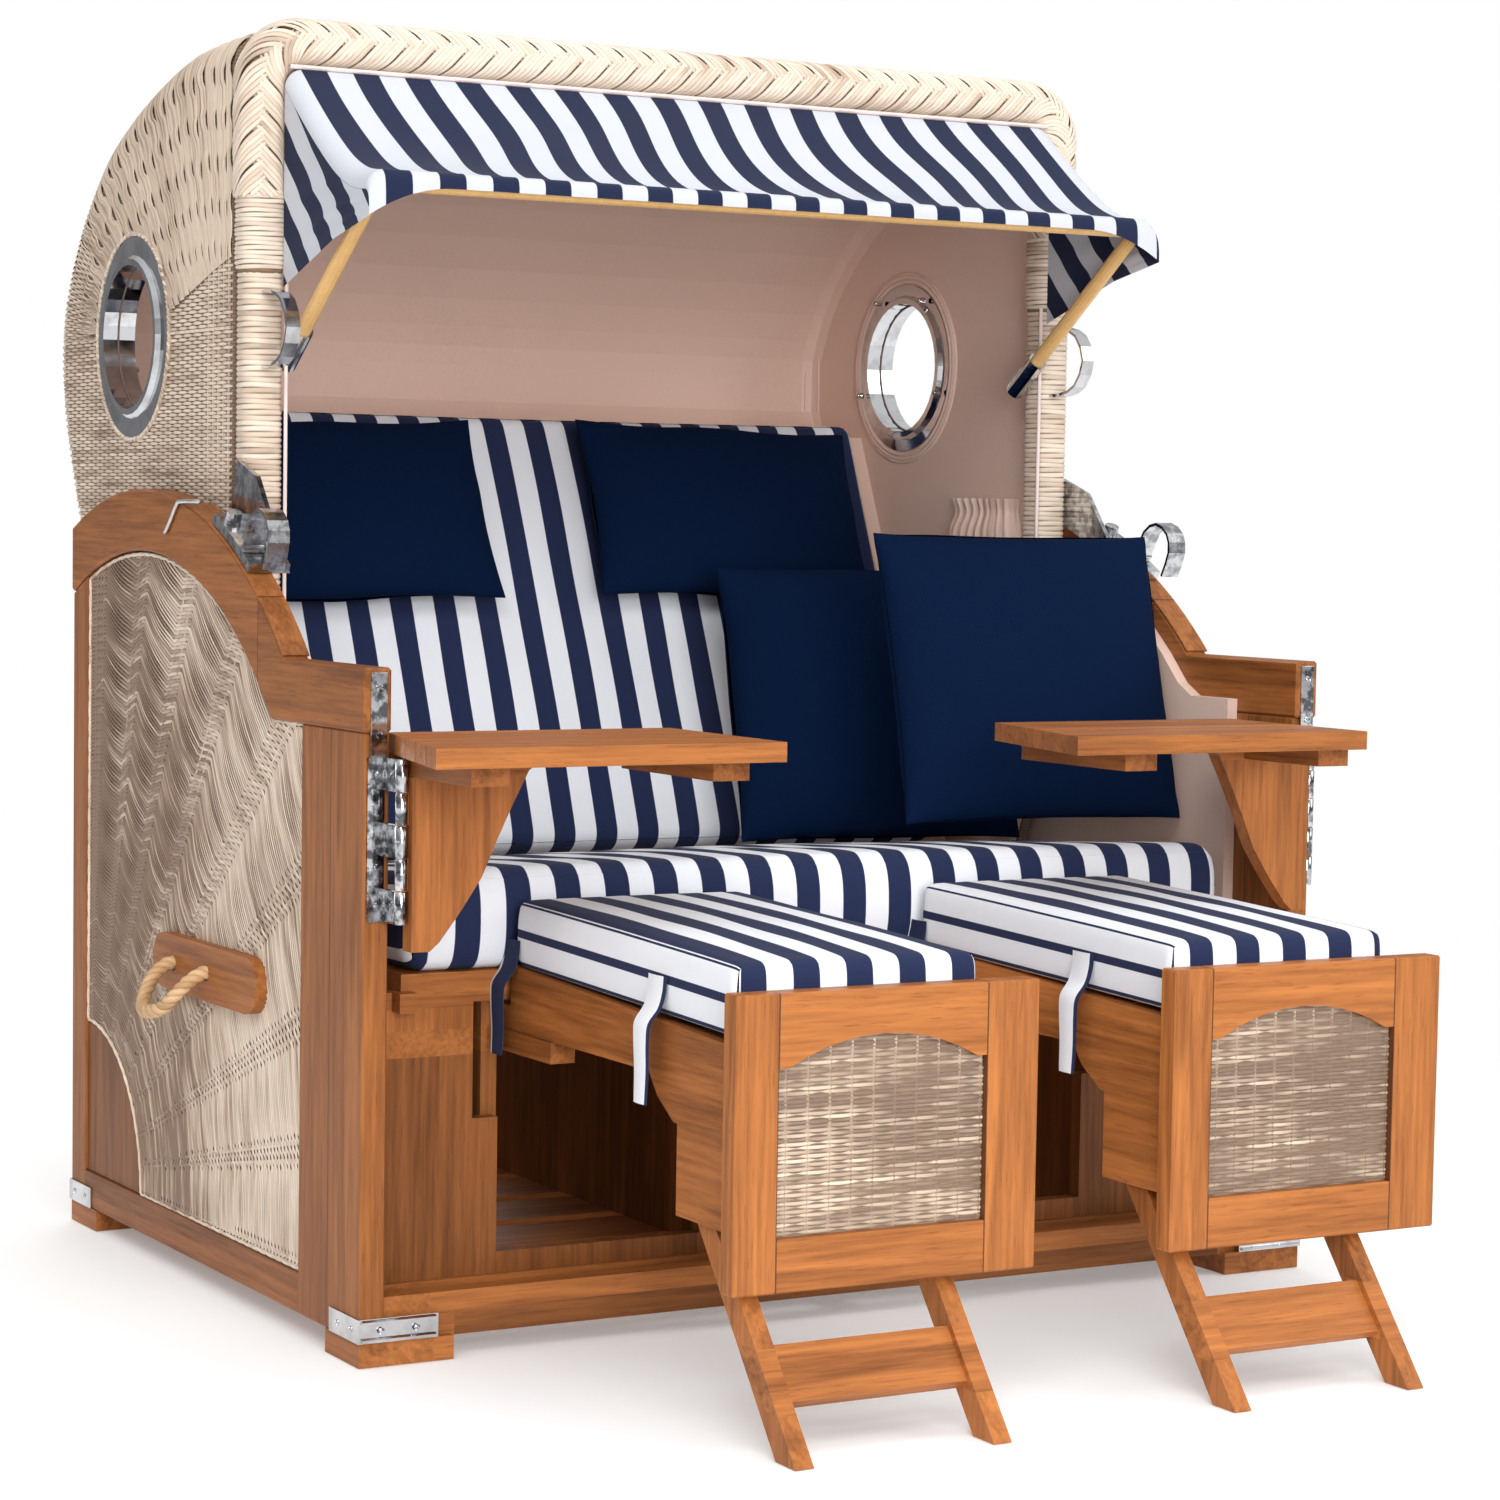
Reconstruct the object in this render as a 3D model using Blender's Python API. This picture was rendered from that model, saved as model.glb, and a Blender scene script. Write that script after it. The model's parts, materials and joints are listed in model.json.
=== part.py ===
# Two-seat hooded beach chair: a slatted timber base with wicker sides, a wicker hood with a
# braided rim that leans back about a low pivot, a folding awning, two swinging tables and two
# pull-out footrests on folding legs. Metres, X to the sitter's left as seen from the front right,
# Y to the back, Z up. The origin is on the floor, below the middle of the whole outline.
import math

import bmesh
import bpy
from mathutils import Matrix, Vector

for stale in list(bpy.data.objects):
    bpy.data.objects.remove(stale, do_unlink=True)

# Clearances
GAP = 0.0003
RUN_GAP = 0.0015
OVERRUN = 0.02
LAP = 0.002
WELD = 0.00002
CHORD = 0.0006
NEST_GAP = 0.0008

# Base
BASE_WIDTH = 1.30
BASE_DEPTH = 0.95
SIDE_BOARD = 0.030
FOOT_WIDTH = 0.115
FOOT_DEPTH = 0.095
FOOT_HEIGHT = 0.027
RAIL_TOP = 0.075
SILL_DEPTH = 0.028
SILL_SETBACK = 0.010
FLOOR_SLAT_COUNT = 6
FLOOR_SLAT_THICKNESS = 0.022
FLOOR_SLAT_SPACE = 0.030
BACK_TOP = 0.300
BACK_RAIL = 0.032
BACK_THICKNESS = 0.026
BACK_WICKER = 0.010
UPRIGHT_WIDTH = 0.045

# Side frames and arms
POST_DEPTH = 0.091
STILE_DEPTH = 0.085
REAR_STILE_DEPTH = 0.052
ARM_LOW = 0.703
ARM_HIGH = 0.774
ARM_PROUD = 0.003
ARM_NOSE = 0.006
FRAME_EASE = 0.0018
PIVOT_Y = 0.220
PIVOT_Z = 0.300
ARM_OUTER_RADIUS = 0.667
ARM_INNER_RADIUS = 0.590
WICKER_THICKNESS = 0.012
WICKER_SETBACK = 0.006
FAN_RADIUS = 0.195
FAN_THICKNESS = 0.014
HANDLE_LENGTH = 0.340
HANDLE_HEIGHT = 0.068
HANDLE_THICKNESS = 0.016
HANDLE_Y = -0.022
HANDLE_Z = 0.388
ROPE_RADIUS = 0.0085
ROPE_SPREAD = 0.110
ROPE_CENTRE_Y = 0.023
ROPE_REACH = 0.070
ROPE_DROP = 0.050
BRACKET_HEIGHT = 0.027
BRACKET_PLATE = 0.002
BRACKET_FRONT = 0.095
BRACKET_SIDE = 0.080
BRACKET_BEAD = 0.0035
BEAD_RADIUS = 0.00245
LINING_THICKNESS = 0.0155
LINING_RADIUS = 0.643
LINING_FRONT = -0.360
LINING_STEP = 0.721
LINING_LOW = 0.245
STRIP_THICKNESS = 0.0025
STRIP_START = 14.0
STRIP_END = 44.4
LEAF_LOW = 0.495
LEAF_HIGH = 0.676
LEAF_WIDTH = 0.020
LEAF_THICKNESS = 0.003
KNUCKLE_RADIUS = 0.0065
KNUCKLE_COUNT = 5

# Seat
SEAT_HALF = 0.570
DECK_LOW = 0.403
DECK_HIGH = 0.425
DECK_FRONT = -0.400
DECK_BACK = 0.250
FRONT_BOARD = 0.020
BAY_TOP = 0.390
BAY_SHOULDER = 0.256
BAY_LOW = 0.100
BAY_SLACK = 0.008
BAY_WING = 0.040
WALL_THICKNESS = 0.020
CLEAT_LOW = 0.333
CLEAT_HIGH = 0.357
CLEAT_WIDTH = 0.027
CLEAT_FRONT = -0.524
BLOCK_SIZE = 0.022
BLOCK_LOW = 0.384
SEAT_FRONT = -0.412
SEAT_BACK = 0.186
SEAT_THICK_FRONT = 0.1157
SEAT_THICK_BACK = 0.0627
SEAT_CROWN = 0.014

# Hood
HOOD_HALF = 0.600
HOOD_TOP = 1.517
HOOD_REACH = 0.692
HOOD_EDGE = 0.040
SHELL_THICKNESS = 0.013
WALL_INNER = 0.575
BACK_WALL = 0.040
WALL_EDGE = 0.020
RIM_WIDTH = 0.052
RIM_DEPTH = 0.050
RIM_TOP = 1.530
RIM_LOW = 0.600
RIM_CORNER = 0.050
RIM_SLIM_SHARE = 0.93
BAND_LOW = 1.235
BAND_HIGH = 1.330
LOBE_RADIUS = 0.056
PIN_RADIUS = 0.011
BOLT_END = 0.005
PORT_Y = 0.388
PORT_Z = 1.163
PORT_FLANGE = 0.129
PORT_RING = 0.105
PORT_BORE = 0.0925
PORT_INNER_FLANGE = 0.120
FLANGE_THICKNESS = 0.003
RING_HEIGHT = 0.009
BACK_LEAN = 23.7
BACK_BOTTOM_Y = 0.190
BACK_BOTTOM_Z = 0.505
BACK_LENGTH = 0.640
BACK_CUSHION = 0.068
BACK_BOARD = 0.018
BACK_HALF = 0.530
HEAD_WIDTH = 0.440
HEAD_HEIGHT = 0.265
HEAD_THICKNESS = 0.085
GRIP_LOW = 1.115
GRIP_HIGH = 1.205
GRIP_REACH = 0.078
GRIP_X = 0.572
GRIP_WIDTH = 0.018
GRIP_STRAP = 0.004

# Awning
STRUT_X = 0.533
STRUT_RADIUS = 0.0095
STRUT_PIVOT_Y = 0.030
STRUT_PIVOT_Z = 1.128
ROD_Y = -0.235
ROD_Z = 1.320
ROD_RADIUS = 0.0085
SOCKET_RADIUS = 0.0125
SOCKET_LENGTH = 0.055
SOCKET_FLOOR = 0.025
BOSS_RADIUS = 0.0069
CLOTH_THICKNESS = 0.003
CLOTH_HALF = 0.556
CLOTH_TOP = 1.472
CLOTH_LIFT = 0.0165

# Tables
TABLE_HINGE_X = 0.6205
TABLE_HINGE_Y = -0.509
TABLE_TOP_Z = 0.700
TABLE_THICKNESS = 0.022
TABLE_DEPTH = 0.270
TABLE_BACK_LENGTH = 0.355
TABLE_FRONT_LENGTH = 0.420
TABLE_BACK_Y = -0.430
TABLE_SLATS = 5
TABLE_SLOT = 0.003
TABLE_CLEAT = 0.022
TABLE_CLEAT_WIDTH = 0.045
TABLE_CLEAT_BACK = -0.449
TABLE_CLEAT_FRONT = -0.665
TABLE_CLEAT_INSET = 0.027
GUSSET_THICKNESS = 0.022
GUSSET_REACH = 0.172
GUSSET_LOW = 0.465
# The free edge of the gusset from the inner end of the table to its foot at the hinge: shares of
# the way out to the hinge and of the drop.
GUSSET_EDGE_SHARES = ((1, 0), (0.833, 0.078), (0.698, 0.25), (0.5625, 0.4375), (0.4375, 0.625),
                      (0.27, 0.79), (0.083, 0.953), (0, 1))
LEFT_TABLE_END = -0.603
RIGHT_TABLE_END = 0.201

# Footrests
UNIT_LEFT_X = -0.455
UNIT_RIGHT_X = 0.088
PANEL_WIDTH = 0.367
PANEL_LOW = 0.156
PANEL_HIGH = 0.464
PANEL_FRONT = -0.964
PANEL_THICKNESS = 0.028
STILE_LEFT = 0.050
STILE_RIGHT = 0.065
WINDOW_LOW = 0.212
WINDOW_SPRING = 0.387
WINDOW_TOP = 0.417
WINDOW_SHOULDER = 0.012
INSERT_THICKNESS = 0.010
RAIL_INSET = 0.015
RAIL_THICKNESS = 0.020
BOX_WIDTH = 0.285
RAIL_BACK = -0.190
RAIL_FRONT_TOP = 0.407
RAIL_BACK_TOP = 0.431
RAIL_NECK_TOP = 0.385
EAR_LOW = 0.311
EAR_SHARES = ((0.0, 0.0), (0.66, 0.50), (1.0, 1.0))
EAR_START = -0.806
EAR_END = -0.750
SLAT_SETBACK = 0.010
SLAT_END = 0.004
CUSHION_LAP = 0.010
BOX_SLATS = 5
BOX_SLAT = 0.014
LEG_PIVOT_Y = -0.845
LEG_PIVOT_Z = 0.245
LEG_TIP_Y = -1.040
LEG_WIDTH = 0.0310
LEG_TOE = 0.0198
LEG_THICKNESS = 0.022
LEG_INSET = 0.0205
LEG_SPREAD = 0.236
CROSSBAR_LOW = 0.050
CROSSBAR_HIGH = 0.100
CROSSBAR_THICKNESS = 0.016
PIN_LEG = 0.005
FOOT_CUSHION_BACK = -0.414
FOOT_CUSHION_THICK = 0.078

HALF = BASE_WIDTH / 2
FRONT = -BASE_DEPTH / 2
BACK = BASE_DEPTH / 2
INNER = HALF - SIDE_BOARD
SLOPE = math.radians(BACK_LEAN)

MATERIALS = {
    "teak": ((0.46, 0.20, 0.075), 0.45, 0.0),
    "wicker": ((0.62, 0.50, 0.38), 0.65, 0.0),
    "chrome": ((0.78, 0.79, 0.80), 0.15, 1.0),
    "taupe_lining": ((0.47, 0.34, 0.27), 0.70, 0.0),
    "striped_cloth": ((0.80, 0.81, 0.84), 0.85, 0.0),
    "navy_cloth": ((0.006, 0.016, 0.055), 0.90, 0.0),
    "hemp_rope": ((0.50, 0.33, 0.17), 0.85, 0.0),
    "pale_wood": ((0.66, 0.43, 0.19), 0.50, 0.0),
}


def material_for(name):
    """Return the plain material of that name, made once."""
    if name in bpy.data.materials:
        return bpy.data.materials[name]
    colour, roughness, metallic = MATERIALS[name]
    material = bpy.data.materials.new(name)
    material.use_nodes = True
    shader = material.node_tree.nodes["Principled BSDF"]
    shader.inputs["Base Color"].default_value = (*colour, 1.0)
    shader.inputs["Roughness"].default_value = roughness
    shader.inputs["Metallic"].default_value = metallic
    material.diffuse_color = (*colour, 1.0)
    return material


# Shapes


def mesh_object(name, points, faces):
    """Make an object from points and faces, with its faces pointing outwards."""
    mesh = bpy.data.meshes.new(name)
    mesh.from_pydata([tuple(p) for p in points], [], faces)
    shape = bmesh.new()
    shape.from_mesh(mesh)
    bmesh.ops.recalc_face_normals(shape, faces=shape.faces)
    if shape.calc_volume(signed=True) < 0:
        bmesh.ops.reverse_faces(shape, faces=shape.faces)
    shape.to_mesh(mesh)
    shape.free()
    obj = bpy.data.objects.new(name, mesh)
    bpy.context.scene.collection.objects.link(obj)
    return obj


def at_level(axis, level, point):
    """Put an outline's point at a level along the axis that the outline is square to."""
    u, v = point
    return {"x": (level, u, v), "y": (u, level, v), "z": (u, v, level)}[axis]


def board(name, outline, axis, low, high):
    """Extrude a closed outline along an axis, from low to high."""
    return loft(name, [[at_level(axis, level, p) for p in outline] for level in (low, high)])


def loft(name, rings, closed=False):
    """Join rings of equal count, and cap the first and last unless the row of rings is closed."""
    count = len(rings[0])
    points = [p for ring in rings for p in ring]
    faces = []
    last = len(rings) if closed else len(rings) - 1
    for row in range(last):
        here = row * count
        there = (row + 1) % len(rings) * count
        for i in range(count):
            j = (i + 1) % count
            faces.append((here + i, here + j, there + j, there + i))
    if not closed:
        faces.append(tuple(reversed(range(count))))
        faces.append(tuple(range(len(points) - count, len(points))))
    return mesh_object(name, points, faces)


def box(name, xs, ys, zs):
    """A rectangular block between three pairs of limits."""
    return board(name, rectangle(xs, ys), "z", *zs)


def rectangle(us, vs):
    return [(us[0], vs[0]), (us[1], vs[0]), (us[1], vs[1]), (us[0], vs[1])]


def arc(centre, radius, start, end, steps):
    """Points of an arc in degrees, both ends included."""
    angles = [math.radians(start + (end - start) * i / steps) for i in range(steps + 1)]
    return [(centre[0] + radius * math.cos(a), centre[1] + radius * math.sin(a)) for a in angles]


def cylinder(name, radius, start, end, steps=16):
    """A round bar from start to end."""
    return rod(name, [Vector(start), Vector(end)], circle(radius, steps))


def circle(radius, steps):
    return arc((0, 0), radius, 0, 360 * (steps - 1) / steps, steps - 1)


def rod(name, path, section, side=None):
    """Carry a section along a path. side is the direction that the section's u axis keeps."""
    rings = []
    previous = None
    for i, point in enumerate(path):
        ahead = path[min(i + 1, len(path) - 1)]
        behind = path[max(i - 1, 0)]
        along = (ahead - behind).normalized()
        if side is not None:
            across = (side - along * side.dot(along)).normalized()
        elif previous is None:
            across = along.orthogonal().normalized()
        else:
            across = (previous - along * previous.dot(along)).normalized()
        previous = across
        up = along.cross(across)
        rings.append([point + across * u + up * v for u, v in section])
    return loft(name, rings)


def turned(name, profile, centre, axis, steps):
    """Turn a closed profile of (distance along the axis, radius) round an axis."""
    rings = []
    for i in range(steps):
        angle = math.tau * i / steps
        u, v = math.cos(angle), math.sin(angle)
        rings.append([Vector(centre) + Vector(at_level(axis, d, (r * u, r * v))) for d, r in profile])
    return loft(name, rings, closed=True)


def smooth_curve(points, steps):
    """Points along a Catmull-Rom curve through the given points."""
    guides = [Vector(p) for p in points]
    guides = [2 * guides[0] - guides[1]] + guides + [2 * guides[-1] - guides[-2]]
    result = []
    for i in range(1, len(guides) - 2):
        a, b, c, d = guides[i - 1:i + 3]
        for k in range(steps):
            t = k / steps
            bend = (2 * a - 5 * b + 4 * c - d) * t * t + (3 * b - a - 3 * c + d) * t * t * t
            result.append((2 * b + (c - a) * t + bend) / 2)
    result.append(guides[-2])
    return result


def combine(target, tool, operation):
    """Apply a Boolean of one object to another, and take the tool away."""
    modifier = target.modifiers.new(operation, "BOOLEAN")
    modifier.object = tool
    modifier.operation = operation
    modifier.solver = "EXACT"
    graph = bpy.context.evaluated_depsgraph_get()
    shaped = bpy.data.meshes.new_from_object(target.evaluated_get(graph))
    target.modifiers.clear()
    clean = bmesh.new()
    clean.from_mesh(shaped)
    bmesh.ops.remove_doubles(clean, verts=clean.verts, dist=WELD)
    bmesh.ops.dissolve_degenerate(clean, edges=clean.edges, dist=WELD)
    clean.to_mesh(shaped)
    clean.free()
    target.data = shaped
    bpy.data.objects.remove(tool, do_unlink=True)
    return target


def fuse(pieces):
    """Union a list of overlapping objects into the first."""
    for piece in pieces[1:]:
        combine(pieces[0], piece, "UNION")
    return pieces[0]


def carve(target, tools):
    for tool in tools:
        combine(target, tool, "DIFFERENCE")
    return target


def soften(obj, width, segments=1):
    """Ease an object's sharp outer edges, and leave its inner corners square."""
    shape = bmesh.new()
    shape.from_mesh(obj.data)
    weight = shape.edges.layers.float.new("bevel_weight_edge")
    for edge in shape.edges:
        sharp = edge.calc_face_angle(0) > math.radians(50)
        edge[weight] = 1.0 if sharp and edge.is_convex else 0.0
    shape.to_mesh(obj.data)
    shape.free()
    bevel = obj.modifiers.new("Eased edges", "BEVEL")
    bevel.width = width
    bevel.segments = segments
    bevel.limit_method = "WEIGHT"
    bevel.use_clamp_overlap = True
    return obj


def finish(obj, material, parent, rounded=True):
    """Give an object its material and hang it on its parent without moving it."""
    obj.data.materials.clear()
    obj.data.materials.append(material_for(material))
    if rounded:
        obj.data.shade_smooth()
        obj.data.set_sharp_from_angle(angle=math.radians(32))
    offset = Vector(parent["base_place"])
    obj.data.transform(Matrix.Translation(-offset))
    obj.parent = parent
    return obj


def pivot(name, place, parent=None):
    """An empty at a joint's axis, placed in the base's frame."""
    empty = bpy.data.objects.new(name, None)
    bpy.context.scene.collection.objects.link(empty)
    empty["base_place"] = place
    if parent is None:
        empty.location = place
    else:
        empty.parent = parent
        empty.location = Vector(place) - Vector(parent["base_place"])
    return empty


def mirrored(points, side):
    return [(side * x, y, z) for x, y, z in points]


def span(side, near, far):
    """A pair of x limits on one side, in rising order."""
    return tuple(sorted((side * near, side * far)))


SIDES = (("left", -1), ("right", 1))


# Base


def build_base_frame(root):
    clear = INNER - GAP
    rail_x = (-clear, clear)
    sill_y = (FRONT + SILL_SETBACK, FRONT + SILL_SETBACK + SILL_DEPTH)
    pieces = [box("base_frame", rail_x, sill_y, (FOOT_HEIGHT - LAP, RAIL_TOP))]
    pieces.append(box("rear_rail", rail_x, (BACK - BACK_THICKNESS, BACK), (FOOT_HEIGHT, RAIL_TOP)))
    bearer_top = RAIL_TOP - FLOOR_SLAT_THICKNESS + LAP
    for side in (-1, 0, 1):
        middle = side * (clear - UPRIGHT_WIDTH / 2)
        xs = (middle - UPRIGHT_WIDTH / 2, middle + UPRIGHT_WIDTH / 2)
        ys = (sill_y[1] - LAP, BACK - BACK_THICKNESS + LAP)
        pieces.append(box("bearer", xs, ys, (FOOT_HEIGHT - LAP / 2, bearer_top)))
    run = BACK - BACK_THICKNESS - sill_y[1] - FLOOR_SLAT_SPACE
    pitch = run / FLOOR_SLAT_COUNT
    for i in range(FLOOR_SLAT_COUNT):
        start = sill_y[1] + FLOOR_SLAT_SPACE + i * pitch
        ys = (start, start + pitch - FLOOR_SLAT_SPACE)
        pieces.append(box("slat", rail_x, ys, (RAIL_TOP - FLOOR_SLAT_THICKNESS, RAIL_TOP)))
    for x_side in (-1, 1):
        for y_side in (-1, 1):
            xs = span(x_side, HALF - FOOT_WIDTH, HALF)
            ys = span(y_side, BACK - FOOT_DEPTH, BACK)
            pieces.append(box("foot", xs, ys, (0, FOOT_HEIGHT)))
    back_y = (BACK - BACK_THICKNESS, BACK)
    pieces.append(box("back_rail", rail_x, back_y, (BACK_TOP - BACK_RAIL, BACK_TOP)))
    for middle in (-(clear - UPRIGHT_WIDTH / 2), clear - UPRIGHT_WIDTH / 2):
        xs = (middle - UPRIGHT_WIDTH / 2, middle + UPRIGHT_WIDTH / 2)
        pieces.append(box("back_post", xs, back_y, (RAIL_TOP - LAP, BACK_TOP - LAP)))
    upright_y = (BACK - BACK_THICKNESS, BACK - BACK_WICKER - LAP)
    upright_x = (-UPRIGHT_WIDTH / 2, UPRIGHT_WIDTH / 2)
    pieces.append(box("upright", upright_x, upright_y, (RAIL_TOP - LAP, BACK_TOP - BACK_RAIL + LAP)))
    finish(fuse(pieces), "teak", root, rounded=False)

    reach = clear - UPRIGHT_WIDTH - GAP
    panel_y = (BACK - BACK_WICKER - LAP + GAP, BACK - LAP + GAP)
    panel = box("back_panel", (-reach, reach), panel_y, (RAIL_TOP + GAP, BACK_TOP - BACK_RAIL - GAP))
    finish(panel, "wicker", root)


def arm_point(radius, height):
    """Where an arm's arc passes a height, on its front side."""
    rise = height - PIVOT_Z
    return PIVOT_Y - math.sqrt(radius * radius - rise * rise)


def arm_angle(radius, y):
    """The angle, from straight up towards the front, of an arm's arc at a place along Y."""
    return math.degrees(math.asin((PIVOT_Y - y) / radius))


def arm_arc(radius, start, end, steps):
    """Points of an arc about the hood's pivot. Angles run from straight up towards the front."""
    return arc((PIVOT_Y, PIVOT_Z), radius, start + 90, end + 90, steps)


def build_sides(root):
    stile_y = FRONT + POST_DEPTH + STILE_DEPTH
    rear_y = BACK - REAR_STILE_DEPTH
    foot_top = FOOT_HEIGHT + GAP
    inner = ARM_INNER_RADIUS
    for word, side in SIDES:
        low_edge = inner - GAP - CHORD
        rear_end = arm_angle(low_edge, BACK)
        rear_start = arm_angle(low_edge, rear_y)
        frame = [(FRONT, foot_top), (BACK, foot_top)]
        frame += arm_arc(low_edge, rear_end, rear_start, 3)
        frame += [(rear_y, RAIL_TOP), (stile_y, RAIL_TOP)]
        frame += [(stile_y, ARM_LOW - GAP), (FRONT, ARM_LOW - GAP)]
        side_frame = board("side_frame_" + word, frame, "x", *span(side, INNER, HALF))
        finish(soften(side_frame, FRAME_EASE), "teak", root)

        corner = arm_angle(inner, arm_point(inner, ARM_LOW))
        shoulder = arm_angle(ARM_OUTER_RADIUS, arm_point(ARM_OUTER_RADIUS, ARM_HIGH))
        top = arm_arc(ARM_OUTER_RADIUS, shoulder, arm_angle(ARM_OUTER_RADIUS, BACK), 18)
        under = arm_arc(inner, arm_angle(inner, BACK), corner, 20)
        arm = [(FRONT - ARM_NOSE, ARM_LOW), (FRONT - ARM_NOSE, ARM_HIGH)] + top + under
        arm_board = board("arm_" + word, arm, "x", *span(side, INNER + GAP, HALF + ARM_PROUD))
        finish(soften(arm_board, ARM_PROUD), "teak", root)

        outer = HALF - WICKER_SETBACK
        slack = GAP
        fan_centre = (rear_y - slack, RAIL_TOP + slack)
        head = inner - slack - CHORD
        fill_top = ARM_LOW - slack
        panel = [(stile_y + slack, RAIL_TOP + slack)]
        panel += arc(fan_centre, FAN_RADIUS + slack, 180, 90, 8)
        ends = (arm_angle(head, rear_y - slack), arm_angle(head, arm_point(head, fill_top)))
        panel += arm_arc(head, *ends, 14)
        panel += [(stile_y + slack, fill_top)]
        wicker = board("wicker_panel_" + word, panel, "x", *span(side, outer - WICKER_THICKNESS, outer))
        finish(wicker, "wicker", root)

        fan = [fan_centre] + arc(fan_centre, FAN_RADIUS, 90, 180, 8)
        fan_x = span(side, outer - WICKER_THICKNESS, outer - WICKER_THICKNESS + FAN_THICKNESS)
        finish(board("fan_corner_" + word, fan, "x", *fan_x), "teak", root)

        build_handle(root, word, side, outer)
        build_brackets(root, word, side)
        build_lining_side(root, word, side)
        build_arm_strip(root, word, side)
        build_table_hinge(root, word, side)


def build_handle(root, word, side, face):
    """A board with two holes on the wicker, and the rope loop that passes through them."""
    outline = []
    end = HANDLE_HEIGHT / 2
    straight = HANDLE_LENGTH / 2 - end
    centre = (HANDLE_Y, HANDLE_Z)
    outline += arc((centre[0] + straight, centre[1]), end, -90, 90, 8)
    outline += arc((centre[0] - straight, centre[1]), end, 90, 270, 8)
    xs = span(side, face + GAP, face + HANDLE_THICKNESS)
    plate = board("handle_board_" + word, outline, "x", *xs)
    hole = ROPE_RADIUS + RUN_GAP
    tools = []
    for y_side in (-1, 1):
        y = ROPE_CENTRE_Y + y_side * ROPE_SPREAD / 2
        ends = [(side * (face + reach), y, HANDLE_Z) for reach in (-OVERRUN, HANDLE_THICKNESS + OVERRUN)]
        tools.append(cylinder("hole", hole, *ends, steps=12))
    finish(carve(plate, tools), "teak", root)

    start = face + GAP + GAP
    shares = ((0.28, 1.0, 0.0), (0.60, 0.94, -0.30), (0.86, 0.64, -0.82), (1.0, 0.0, -1.0))
    route = [(start + x * ROPE_REACH, y, z * ROPE_DROP) for x, y, z in shares]
    half = [(x, ROPE_CENTRE_Y + y * ROPE_SPREAD / 2, HANDLE_Z + z) for x, y, z in route]
    other = [(x, 2 * ROPE_CENTRE_Y - y, z) for x, y, z in reversed(half[:-1])]
    bend = [tuple(p) for p in smooth_curve(half + other, 3)]
    ends = [(start, ROPE_CENTRE_Y + y * ROPE_SPREAD / 2, HANDLE_Z) for y in (1, -1)]
    path = [Vector(p) for p in mirrored([ends[0]] + bend + [ends[1]], side)]
    finish(rod("rope_handle_" + word, path, circle(ROPE_RADIUS, 7)), "hemp_rope", root)


def build_brackets(root, word, side):
    """A chrome angle plate with raised beads round each lower corner."""
    low = FOOT_HEIGHT + GAP + GAP
    high = low + BRACKET_HEIGHT
    for end, y_side in (("front", -1), ("rear", 1)):
        wall = HALF + GAP
        face = BACK + GAP
        skin = BRACKET_PLATE
        outline = [
            (side * (wall - BRACKET_FRONT), y_side * face),
            (side * wall, y_side * face),
            (side * wall, y_side * (face - BRACKET_SIDE)),
            (side * (wall + skin), y_side * (face - BRACKET_SIDE)),
            (side * (wall + skin), y_side * (face + skin)),
            (side * (wall - BRACKET_FRONT), y_side * (face + skin)),
        ]
        pieces = [board("corner_bracket_{}_{}".format(end, word), outline, "z", low, high)]
        for level in (low + BRACKET_BEAD, high - BRACKET_BEAD):
            bead_y = y_side * (face + skin + BRACKET_BEAD / 4)
            xs = span(side, wall - BRACKET_FRONT + BRACKET_BEAD, wall + skin - BRACKET_BEAD)
            ends = [(x, bead_y, level) for x in xs]
            pieces.append(cylinder("bead", BEAD_RADIUS, *ends, steps=6))
        finish(fuse(pieces), "chrome", root)


def build_lining_side(root, word, side):
    """The upholstered board inside the arm, with the bolt that the hood turns on."""
    inner = INNER - GAP - LINING_THICKNESS
    rear = BACK - BACK_THICKNESS - GAP
    corner = arm_angle(LINING_RADIUS, arm_point(LINING_RADIUS, LINING_STEP + LINING_THICKNESS))
    step_y = LINING_FRONT
    outline = [(step_y, DECK_HIGH), (step_y, LINING_STEP)]
    outline += [(arm_point(LINING_RADIUS, LINING_STEP) - LINING_THICKNESS, LINING_STEP)]
    outline += arm_arc(LINING_RADIUS, corner, arm_angle(LINING_RADIUS, rear), 14)
    low_front = DECK_FRONT + FRONT_BOARD + GAP
    outline += [(rear, LINING_LOW), (low_front, LINING_LOW), (low_front, DECK_HIGH)]
    panel = board("lining_side_" + word, outline, "x", *span(side, inner, INNER - GAP))
    ends = [(side * x, PIVOT_Y, PIVOT_Z) for x in (WALL_INNER - BOLT_END, inner + LAP)]
    finish(fuse([panel, cylinder("bolt", PIN_RADIUS, *ends, steps=20)]), "taupe_lining", root)


def build_arm_strip(root, word, side):
    """The chrome wear strip bent over the arm, with the plate on its front end."""
    low = ARM_OUTER_RADIUS + GAP
    high = low + STRIP_THICKNESS
    outline = arm_arc(low, STRIP_START, STRIP_END, 16) + arm_arc(high, STRIP_END, STRIP_START, 16)
    strip = board("arm_strip_" + word, outline, "x", *span(side, INNER + GAP, HALF + ARM_PROUD))
    finish(strip, "chrome", root)


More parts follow.
